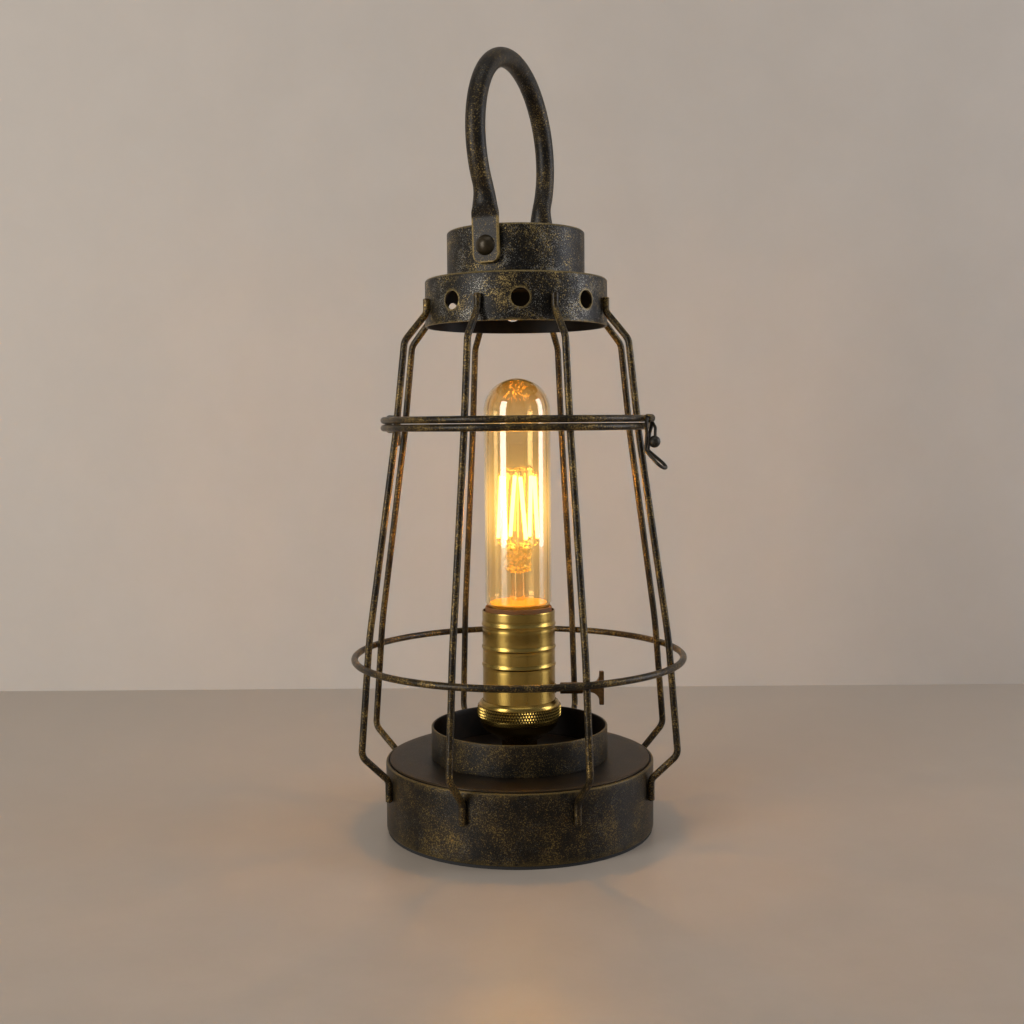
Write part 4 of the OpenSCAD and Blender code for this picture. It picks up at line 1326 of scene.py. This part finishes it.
    def frame(self) -> Shell:
        """The wire frame: a mast, a small hoop at each end, and a bent lead from it to each stick."""
        a = np.linspace(0, 2 * np.pi, 10, endpoint=False)
        top_z = self.high_hoop[1]
        mast = np.array([[0, 0, self.stem_top - 1], [0, 0, top_z + 1.4]])
        shell = loft(divided(mast, 6.0), [1, 0, 0], self.mast_r, self.mast_r, 2.0, 12)
        for radius, z in (self.low_hoop, self.high_hoop):
            ring = np.stack([radius + self.hoop_r * np.cos(a), z + self.hoop_r * np.sin(a)], 1)
            shell = shell + revolve(ring, 64)
        for k in range(self.sticks):
            for end, (radius, z), dip in zip(self.ends(k), (self.low_hoop, self.high_hoop), (-0.9, 1.2)):
                out = end[:2] / np.linalg.norm(end[:2])
                corners = [
                    [*(out * radius), z],
                    [*(out * (radius + np.linalg.norm(end[:2])) / 2), z + dip],
                    [*end[:2], end[2] + dip / 2],
                    [*end],
                ]
                shell = shell + wire(corners, [0, 1.2, 0.5, 0], self.lead, [-out[1], out[0], 0])
        for turn in (0, 120, 240):
            spoke = [[0.2, 0, top_z + 1.0], [2.4, 0, top_z + 0.9], [self.high_hoop[0], 0, top_z]]
            shell = shell + wire(spoke, [0, 2, 0], self.lead, [0, 1, 0]).at(turn + 90)
            radius, z = self.low_hoop
            spoke = [[0.2, 0, self.stem_top - 0.4], [3.0, 0, self.stem_top + 0.3], [radius, 0, z]]
            shell = shell + wire(spoke, [0, 2, 0], self.lead, [0, 1, 0]).at(turn + 110)
        return shell

    def build(self) -> None:
        """Makes the pieces."""
        glass = make_piece("bulb_envelope", self.glass(), Body.BULB, Slot.AMBER_GLASS, ["bulb_glass"])
        stem = make_piece("bulb_foot", self.stem(), Body.BULB, Slot.CLEAR_GLASS, ["bulb_stem"])
        # Painted light: the skirt glows, though it is no lamp, for the lit sticks' light caught on the
        # glass's shoulder.
        make_piece("bulb_skirt", self.skirt(), Body.BULB, Slot.CLEAR_GLASS, ["bulb_stem"], PAINTED_GLOW_DISH)
        bead = make_piece("bulb_bead", self.bead(), Body.BULB, Slot.CLEAR_GLASS, ["bulb_stem"], BEAD_GLASS)
        make_piece("bulb_thread", self.cap(), Body.BULB, Slot.NICKEL, ["bulb_screw_cap"])
        start, stop = self.ferrule, 1 - self.ferrule
        spans = ((0, start), (stop, 1))
        lit = [self.stick(k, start, stop, self.stick_r) for k in range(self.sticks)]
        tips = [self.stick(k, *span, self.ferrule_r) for k in range(self.sticks) for span in spans]
        make_piece("lit_sticks", sum(lit[1:], lit[0]), Body.BULB, Slot.FILAMENT, ["filaments"])
        frame_shell = sum(tips, self.frame())
        make_piece("stick_frame", frame_shell, Body.BULB, Slot.ZINC_STEEL, ["filament_frame"], NICKEL)
        for piece in (glass, stem, bead):
            piece.visible_shadow = False


@dataclass
class WireCage:
    """The sixteen ribs, the hoop and the two rim rings, all of one wire."""

    diameter: float = 3.5
    first: float = 22.5
    count: int = 8
    lower_path: tuple[tuple[float, float], ...] = (
        (72.0, 20.5),
        (72.0, 31.5),
        (85.9, 45.5),
        (81.0, 103.8),
        (65.0, 211.2),
    )
    lower_bends: tuple[float, ...] = (0, 5, 7, 250, 0)
    upper_path: tuple[tuple[float, float], ...] = ((65.0, 212.7), (60.4, 253.3), (48.6, 267.3), (48.6, 274.5))
    upper_bends: tuple[float, ...] = (0, 8, 5, 0)
    hoop: tuple[float, float] = (85.67, 90.6)
    rim_radius: float = 68.77
    rim_heights: tuple[float, float] = (210.0, 213.9)

    def rib(self, path: Sequence[tuple[float, float]], bends: Sequence[float], number: int) -> Shell:
        """One rib, bent in its own upright plane."""
        corners = [[r, 0, z] for r, z in path]
        return wire(corners, bends, self.diameter, [0, 1, 0]).at(self.first + 360 / self.count * (number - 1))

    def build(self) -> None:
        """Makes the pieces."""
        for i in range(1, self.count + 1):
            low = self.rib(self.lower_path, self.lower_bends, i)
            high = self.rib(self.upper_path, self.upper_bends, i)
            make_piece(f"cage_rib_{i}", low, Body.BASE, Slot.PAINTED_STEEL, [f"lower_rib_{i}"], WIRE_ENAMEL)
            make_piece(f"lid_rib_{i}", high, Body.LID, Slot.PAINTED_STEEL, [f"upper_rib_{i}"], WIRE_ENAMEL)
        hoop = wire_ring(*self.hoop, self.diameter)
        make_piece("cage_hoop", hoop, Body.BASE, Slot.PAINTED_STEEL, ["lower_hoop"], WIRE_ENAMEL)
        low, high = (wire_ring(self.rim_radius, z, self.diameter) for z in self.rim_heights)
        make_piece("cage_rim", low, Body.BASE, Slot.PAINTED_STEEL, ["lower_rim_ring"], WIRE_ENAMEL)
        make_piece("lid_rim", high, Body.LID, Slot.PAINTED_STEEL, ["upper_rim_ring"], WIRE_ENAMEL)


@dataclass
class VentedCap:
    """The vent band and the crown, two drawn sheet pieces, with the rivets through the crown."""

    wall: float = 1.2
    band_radius: float = 46.8
    band_low: float = 261.3
    band_high: float = 285.3
    shelf_radius: float = 30.8
    corner: float = 1.6
    hole_z: float = 272.3
    hole_r: float = 4.6
    first_hole: float = 2.5
    crown_radius: float = 35.3
    crown_low: float = 285.35
    crown_high: float = 309.55
    rivet_angle: float = -23.0
    rivet_z: float = 298.55
    rivet_seat: float = 38.15
    rivet_head: float = 5.0
    rivet_dome: float = 3.1

    def band(self) -> Shell:
        """The band: a wall with eight holes, a shelf on top, open below."""
        outer, inner = self.band_radius, self.band_radius - self.wall
        low, high = self.band_low + 0.4, self.band_high - self.corner
        holes = (8, range(8), self.first_hole, self.hole_z, self.hole_r)
        skin, rims = holed_wall(outer, low, high, *holes)
        back, inner_rims = holed_wall(inner, low, high, *holes)
        shell = skin + back
        for rim, inner_rim in zip(rims, inner_rims):
            shell = shell + grid_shell(np.stack([rim, inner_rim]), False, True, 0.8)
        start = self.first_hole - 22.5
        corners = [[outer, low], [outer, self.band_low], [inner, self.band_low], [inner, low]]
        foot = rounded(corners, [0, 0.35, 0.35, 0], 5)
        shelf = rounded(
            [
                [outer, high],
                [outer, self.band_high],
                [self.shelf_radius, self.band_high],
                [self.shelf_radius, self.band_high - self.wall],
                [inner, self.band_high - self.wall],
                [inner, high],
            ],
            [0, self.corner - 0.01, 0.3, 0.3, 0.3, 0],
            8,
        )
        shelf = divided(shelf, 3.0)
        wear_and_shade = edge_rub(shelf, [(outer - 0.6, self.band_high - 0.4)], 1.0)
        shell = shell + revolve(foot, 192, False, edge_rub(foot, [(outer, self.band_low)], 0.8), start)
        return shell + revolve(shelf, 192, False, wear_and_shade, start)

    def crown(self) -> Shell:
        """The crown: a closed cup, mouth down."""
        outer, inner = self.crown_radius, self.crown_radius - self.wall
        corners = [
            [0, self.crown_high],
            [outer, self.crown_high],
            [outer, self.crown_low],
            [inner, self.crown_low],
            [inner, self.crown_high - self.wall],
            [0, self.crown_high - self.wall],
        ]
        profile = divided(rounded(corners, [0, self.corner, 0.2, 0.2, 0.5, 0], 7), 3.0)
        wear_and_shade = edge_rub(profile, [(outer - 0.5, self.crown_high - 0.5)], 0.8)
        return revolve(profile, 168, False, wear_and_shade)

    def rivets(self) -> Shell:
        """The two rivets: a dome outside, a shank, and a clenched head inside the crown."""
        radius = (self.rivet_head**2 + self.rivet_dome**2) / (2 * self.rivet_dome)
        a = np.linspace(math.asin(1 - self.rivet_dome / radius), math.pi / 2, 16)
        top = self.rivet_seat + self.rivet_dome
        dome = np.stack([radius * np.cos(a), top - radius + radius * np.sin(a)], 1)
        seat = self.rivet_seat
        clench = [[0, 32.6], [3.6, 32.6], [4.0, 33.0], [4.0, 33.75], [2.4, 33.75]]
        shank = np.array(clench + [[2.4, seat], [4.8, seat]])
        rivet = revolve(np.vstack([shank, dome]), 48, False).lying().moved(0, 0, self.rivet_z)
        return rivet.at(self.rivet_angle) + rivet.at(self.rivet_angle + 180)

    def build(self) -> None:
        """Makes the pieces."""
        make_piece("cap_band", self.band(), Body.LID, Slot.PAINTED_STEEL, ["vent_band"], CAP_ENAMEL)
        make_piece("cap_crown", self.crown(), Body.LID, Slot.PAINTED_STEEL, ["crown"], CAP_ENAMEL)
        make_piece("cap_rivets", self.rivets(), Body.LID, Slot.PAINTED_STEEL, ["handle_rivets"], RIVET_ENAMEL)


@dataclass
class BailHandle:
    """The bail: one round bar, looped, bent back and hammered flat at both ends."""

    pivot_z: float = 298.55
    angle: float = -23.0
    lean: float = 1.5
    bar: float = 9.8
    loop_radius: float = 45.0
    loop_rise: float = 52.9
    bend_radius: float = 18.0
    strap_radius: float = 36.8
    strap_wide: float = 14.0
    strap_thick: float = 2.4
    strap_drop: float = 8.6
    corner: float = 4.5
    flat_rise: float = 12.6
    thin_rise: float = 20.6

    def build(self) -> None:
        """Makes the bar: its section turns from round to flat between the bend and the strap."""
        share = (self.strap_radius + self.bend_radius) / (self.loop_radius + self.bend_radius)
        swing = math.acos(share)
        bend_z = self.loop_rise - (self.loop_radius + self.bend_radius) * math.sin(swing)
        s = np.linspace(0, 1, 12)
        tip = -self.strap_drop + self.corner * (1 - np.cos(s * np.pi / 2))
        leg_z = np.concatenate([tip, np.linspace(tip[-1], bend_z, 44)[1:]])
        leg = np.stack([np.full_like(leg_z, self.strap_radius), leg_z], 1)
        a = np.linspace(np.pi, np.pi - swing, 14)[1:]
        back = np.stack(
            [
                self.strap_radius + self.bend_radius + self.bend_radius * np.cos(a),
                bend_z + self.bend_radius * np.sin(a),
            ],
            1,
        )
        b = np.linspace(-swing, np.pi / 2, 60)[1:]
        rise = np.stack([self.loop_radius * np.cos(b), self.loop_rise + self.loop_radius * np.sin(b)], 1)
        half = np.vstack([leg, back, rise])
        outline = np.vstack([half, (half * [-1, 1])[-2::-1]])
        z = outline[:, 1]
        neck = bend_z + self.bend_radius * math.sin(swing)

        def eased(start: float) -> Array:
            """Returns how flat the bar is: 0 above the start and 1 at the flat, on an S-shaped curve."""
            share = np.clip((start - z) / (start - self.flat_rise), 0, 1)
            return share * share * (3 - 2 * share)

        wide = self.bar / 2 + (self.strap_wide - self.bar) / 2 * eased(neck)
        flat = eased(self.thin_rise)
        thick = self.bar / 2 + (self.strap_thick - self.bar) / 2 * flat
        drop = np.clip((-self.strap_drop + self.corner - z) / self.corner, 0, 1)
        wide = wide - self.corner + self.corner * np.sqrt(1 - drop**2)
        thick = thick - 0.5 * np.clip((drop - 0.92) / 0.08, 0, 1)
        path = np.stack([outline[:, 0], np.zeros(len(z)), z], 1)
        edge = np.clip((flat - 0.9) / 0.1, 0, 1)
        shell = loft(path, [0, 1, 0], wide, thick, 2 + 8 * flat**2, 56, False, edge)
        shell.wear_and_shade = np.maximum(shell.wear_and_shade, np.clip((-self.strap_drop + 1.0 - shell.points[:, 2]) / 0.6, 0, 1))
        tilt = math.radians(self.lean)
        c, s = math.cos(tilt), math.sin(tilt)
        turn = np.array([[1, 0, 0], [0, c, s], [0, -s, c]])
        shell = Shell(shell.points @ turn, shell.faces, shell.wear_and_shade).at(self.angle).moved(0, 0, self.pivot_z)
        make_piece("bail_bar", shell, Body.HANDLE, Slot.PAINTED_STEEL, ["bail_handle"], BAIL_ENAMEL)


@dataclass
class WireLatch:
    """The wire latch on the rim: a loop through the barrel, a finger loop, and a ball on a neck."""

    angle: float = 64.0
    radius: float = 72.67
    pivot_z: float = 213.9
    lean: float = 5.0
    diameter: float = 1.7
    wide: float = 3.8
    narrow: float = 1.9
    kink: float = 16.0
    finger: float = 12.8
    finger_half: float = 4.1
    tilt: float = 53.0
    ball: float = 6.0
    ball_fall: float = 11.3
    ball_off: float = 3.58

    def hang(self, shell: Shell) -> Shell:
        """Places a drawing of the latch: X along the rim, Y up, Z outwards, from the barrel's axis."""
        p = shell.points
        a = math.radians(self.lean)
        out, up = p[:, 2] * math.cos(a) + p[:, 1] * math.sin(a), p[:, 1] * math.cos(a) - p[:, 2] * math.sin(a)
        placed = np.stack([out + self.radius, p[:, 0], up + self.pivot_z], 1)
        return Shell(placed, shell.faces, shell.wear_and_shade).at(self.angle)

    def build(self) -> None:
        """Makes the loop in one closed run of wire, and the ball with its neck."""
        t = math.radians(self.tilt)
        n, w, f, k = self.narrow, self.wide, self.finger_half, self.finger

        def finger(x: float, down: float) -> list[float]:
            """Returns a corner of the finger loop, which stands out by the tilt."""
            return [x, -self.kink - down * math.cos(t), down * math.sin(t)]

        corners = [
            [0, 0, 0],
            [w, 0, 0],
            [w, -4, 0],
            [n, -7.6, 0],
            [n, -self.kink, 0],
            finger(f, k - 4),
            finger(f, k),
            finger(-f, k),
            finger(-f, k - 4),
            [-n, -self.kink, 0],
            [-n, -7.6, 0],
            [-w, -4, 0],
            [-w, 0, 0],
        ]
        radii = [0, 1.4, 2, 2, 2, 6, 3.6, 3.6, 6, 2, 2, 2, 1.4]
        path = divided(rounded(corners, radii, 7, True), 1.2, True)
        ahead = np.roll(path, -1, 0) - np.roll(path, 1, 0)
        plane = np.where(path[:, 1:2] < -self.kink, [[0, math.sin(t), math.cos(t)]], [[0, 0, 1.0]])
        side = np.cross(ahead, plane)
        radius = self.diameter / 2
        loop = loft(path, side, radius, radius, 2.0, 16, True)
        make_piece("latch_wire", self.hang(loop), Body.LATCH, Slot.DARK_STEEL, ["latch_loop"])
        a = np.linspace(-np.pi / 2, np.pi / 2, 24)
        r = self.ball / 2
        ball = revolve(np.stack([r * np.cos(a), r * np.sin(a)], 1), 40, False)
        ball = ball.moved(0, -self.ball_fall, self.ball_off)
        neck = [[w, -1.7, 0.2], [2.9, -4.4, 2.5], [0.4, -self.ball_fall + r - 0.5, self.ball_off]]
        neck_shell = wire(neck, [0, 3, 0], 1.5, [0, 0, 1])
        make_piece("latch_weight", self.hang(ball + neck_shell), Body.LATCH, Slot.DARK_STEEL, ["latch_ball"])


# ---- the studio ----


@dataclass
class Studio:
    """A pale table, a pale wall and soft light from three sides; the lit sticks add their own.

    Sizes are in millimetres and angles in degrees. The point that the lights face, aim, is
    in metres, as the lights are.
    """

    focal_px: float = 1263.0
    frame_px: float = 1024.0
    sensor: float = 36.0
    eye: tuple[float, float] = (-656.7, 212.4)
    pitch: float = 4.06
    yaw: float = 0.262
    roll: float = -0.47
    wall_y: float = 345.0
    reach: float = 3000.0
    table_reach: float = 12000.0
    aim: tuple[float, float, float] = (0.0, 0.0, 0.2)
    world_colour: str = "#dcdcdc"
    world_light: float = 0.26
    world_seen: float = 0.55

    def camera(self) -> None:
        """Sets the camera where the photograph was taken from."""
        data = bpy.data.cameras.new("photograph")
        data.sensor_width = self.sensor
        data.lens = self.focal_px * self.sensor / self.frame_px
        data.clip_start, data.clip_end = 0.01, 50
        eye = bpy.data.objects.new("photograph", data)
        turn = (
            Matrix.Rotation(math.radians(self.yaw), 4, "Z")
            @ Matrix.Rotation(math.radians(90 - self.pitch), 4, "X")
            @ Matrix.Rotation(math.radians(self.roll), 4, "Z")
        )
        eye.matrix_world = Matrix.Translation((0, self.eye[0] * MM, self.eye[1] * MM)) @ turn
        bpy.context.scene.collection.objects.link(eye)
        bpy.context.scene.camera = eye

    def panel(self, name: str, corners: Path, finish: Finish) -> None:
        """Adds one flat side of the studio.

        Args:
            name: the side's name.
            corners: its corners in millimetres, anticlockwise as the lamp sees them.
            finish: its finish.
        """
        mesh = bpy.data.meshes.new(name)
        mesh.from_pydata((np.array(corners, float) * MM).tolist(), [], [(0, 1, 2, 3)])
        mesh.materials.append(finish.material())
        panel = bpy.data.objects.new(name, mesh)
        bpy.context.scene.collection.objects.link(panel)

    def room(self) -> None:
        """Lays a pale table top and stands a pale wall behind it, which can't be seen from behind."""
        table = GrainedSolid(
            "pale_table", colour="#aca195", fleck="#b1a69a", roughness=0.36, grain_mm=30.0, relief_mm=0.0
        )
        wall = GrainedSolid(
            "pale_wall",
            colour="#c2bbb3",
            fleck="#c6bfb7",
            roughness=0.7,
            grain_mm=60.0,
            relief_mm=0.0,
            one_sided=True,
        )
        far, back, end = self.reach, self.wall_y, self.table_reach
        self.panel("table", [[-end, -end, 0], [end, -end, 0], [end, end, 0], [-end, end, 0]], table)
        self.panel("backdrop", [[-far, back, 0], [far, back, 0], [far, back, far], [-far, back, far]], wall)

    def area(
        self, name: str, place: Sequence[float], size: tuple[float, float], watts: float, colour: str
    ) -> None:
        """Adds a soft oblong light that faces the lamp.

        Args:
            name: the light's name.
            place: where it stands, in metres.
            size: its width and height, in metres.
            watts: its power.
            colour: its colour, as hex.
        """
        data = bpy.data.lights.new(name, "AREA")
        data.shape, data.size, data.size_y = "RECTANGLE", *size
        data.energy, data.color = watts, linear(colour)[:3]
        lamp = bpy.data.objects.new(name, data)
        away = np.array(place, float) - np.array(self.aim)
        away /= np.linalg.norm(away)
        right = np.cross([0, 0, 1.0], away)
        right /= np.linalg.norm(right)
        up = np.cross(away, right)
        rows = np.stack([right, up, away], 1).tolist()
        lamp.matrix_world = Matrix([[*row, p] for row, p in zip(rows, place)] + [[0, 0, 0, 1]])
        bpy.context.scene.collection.objects.link(lamp)

    def build(self) -> None:
        """Makes the studio."""
        self.camera()
        self.room()
        world = bpy.data.worlds.new("studio")
        world.use_nodes = True
        tree = world.node_tree
        seen = add_node(tree, Node.LIGHT_PATH, output="Is Camera Ray")
        span = {"Value": seen, "To Min": self.world_light, "To Max": self.world_seen}
        inputs = {"Color": self.world_colour, "Strength": add_node(tree, Node.RANGE, None, span)}
        connect(tree, tree.nodes["Background"], inputs)
        bpy.context.scene.world = world
        self.area("key_softbox", (-1.08, -0.9, 0.5), (0.55, 1.05), 14, "#fbf6f0")
        self.area("side_softbox", (1.4, -0.02, 0.5), (0.5, 1.05), 9.5, "#f4f4fa")
        self.area("top_softbox", (0.1, -0.5, 1.9), (1.2, 1.0), 4.5, "#fbf8f4")
        view = bpy.context.scene.view_settings
        view.view_transform = "Standard"


def dress_frame() -> None:
    """Gives every CAD node the finish of its slot."""
    slots = {part["node"]: Slot(part["material_slot"]) for part in frame["record"]["subparts"]}
    for name, node in frame["nodes"].items():
        node.data.materials.clear()
        node.data.materials.append(FINISHES[slots[name]].material())
        LOG.info("%s: CAD surface in %s", name, FINISHES[slots[name]].name)


def main() -> None:
    """Builds the lamp, dresses what is left of the frame, and sets the studio."""
    logging.basicConfig(level=logging.INFO, format="%(name)s: %(message)s")
    for part in (
        DrumBase(),
        LampHolder(),
        SwitchKey(),
        TubularBulb(),
        WireCage(),
        VentedCap(),
        BailHandle(),
        WireLatch(),
    ):
        part.build()
    dress_frame()
    Studio().build()


if __name__ == "__main__":
    main()
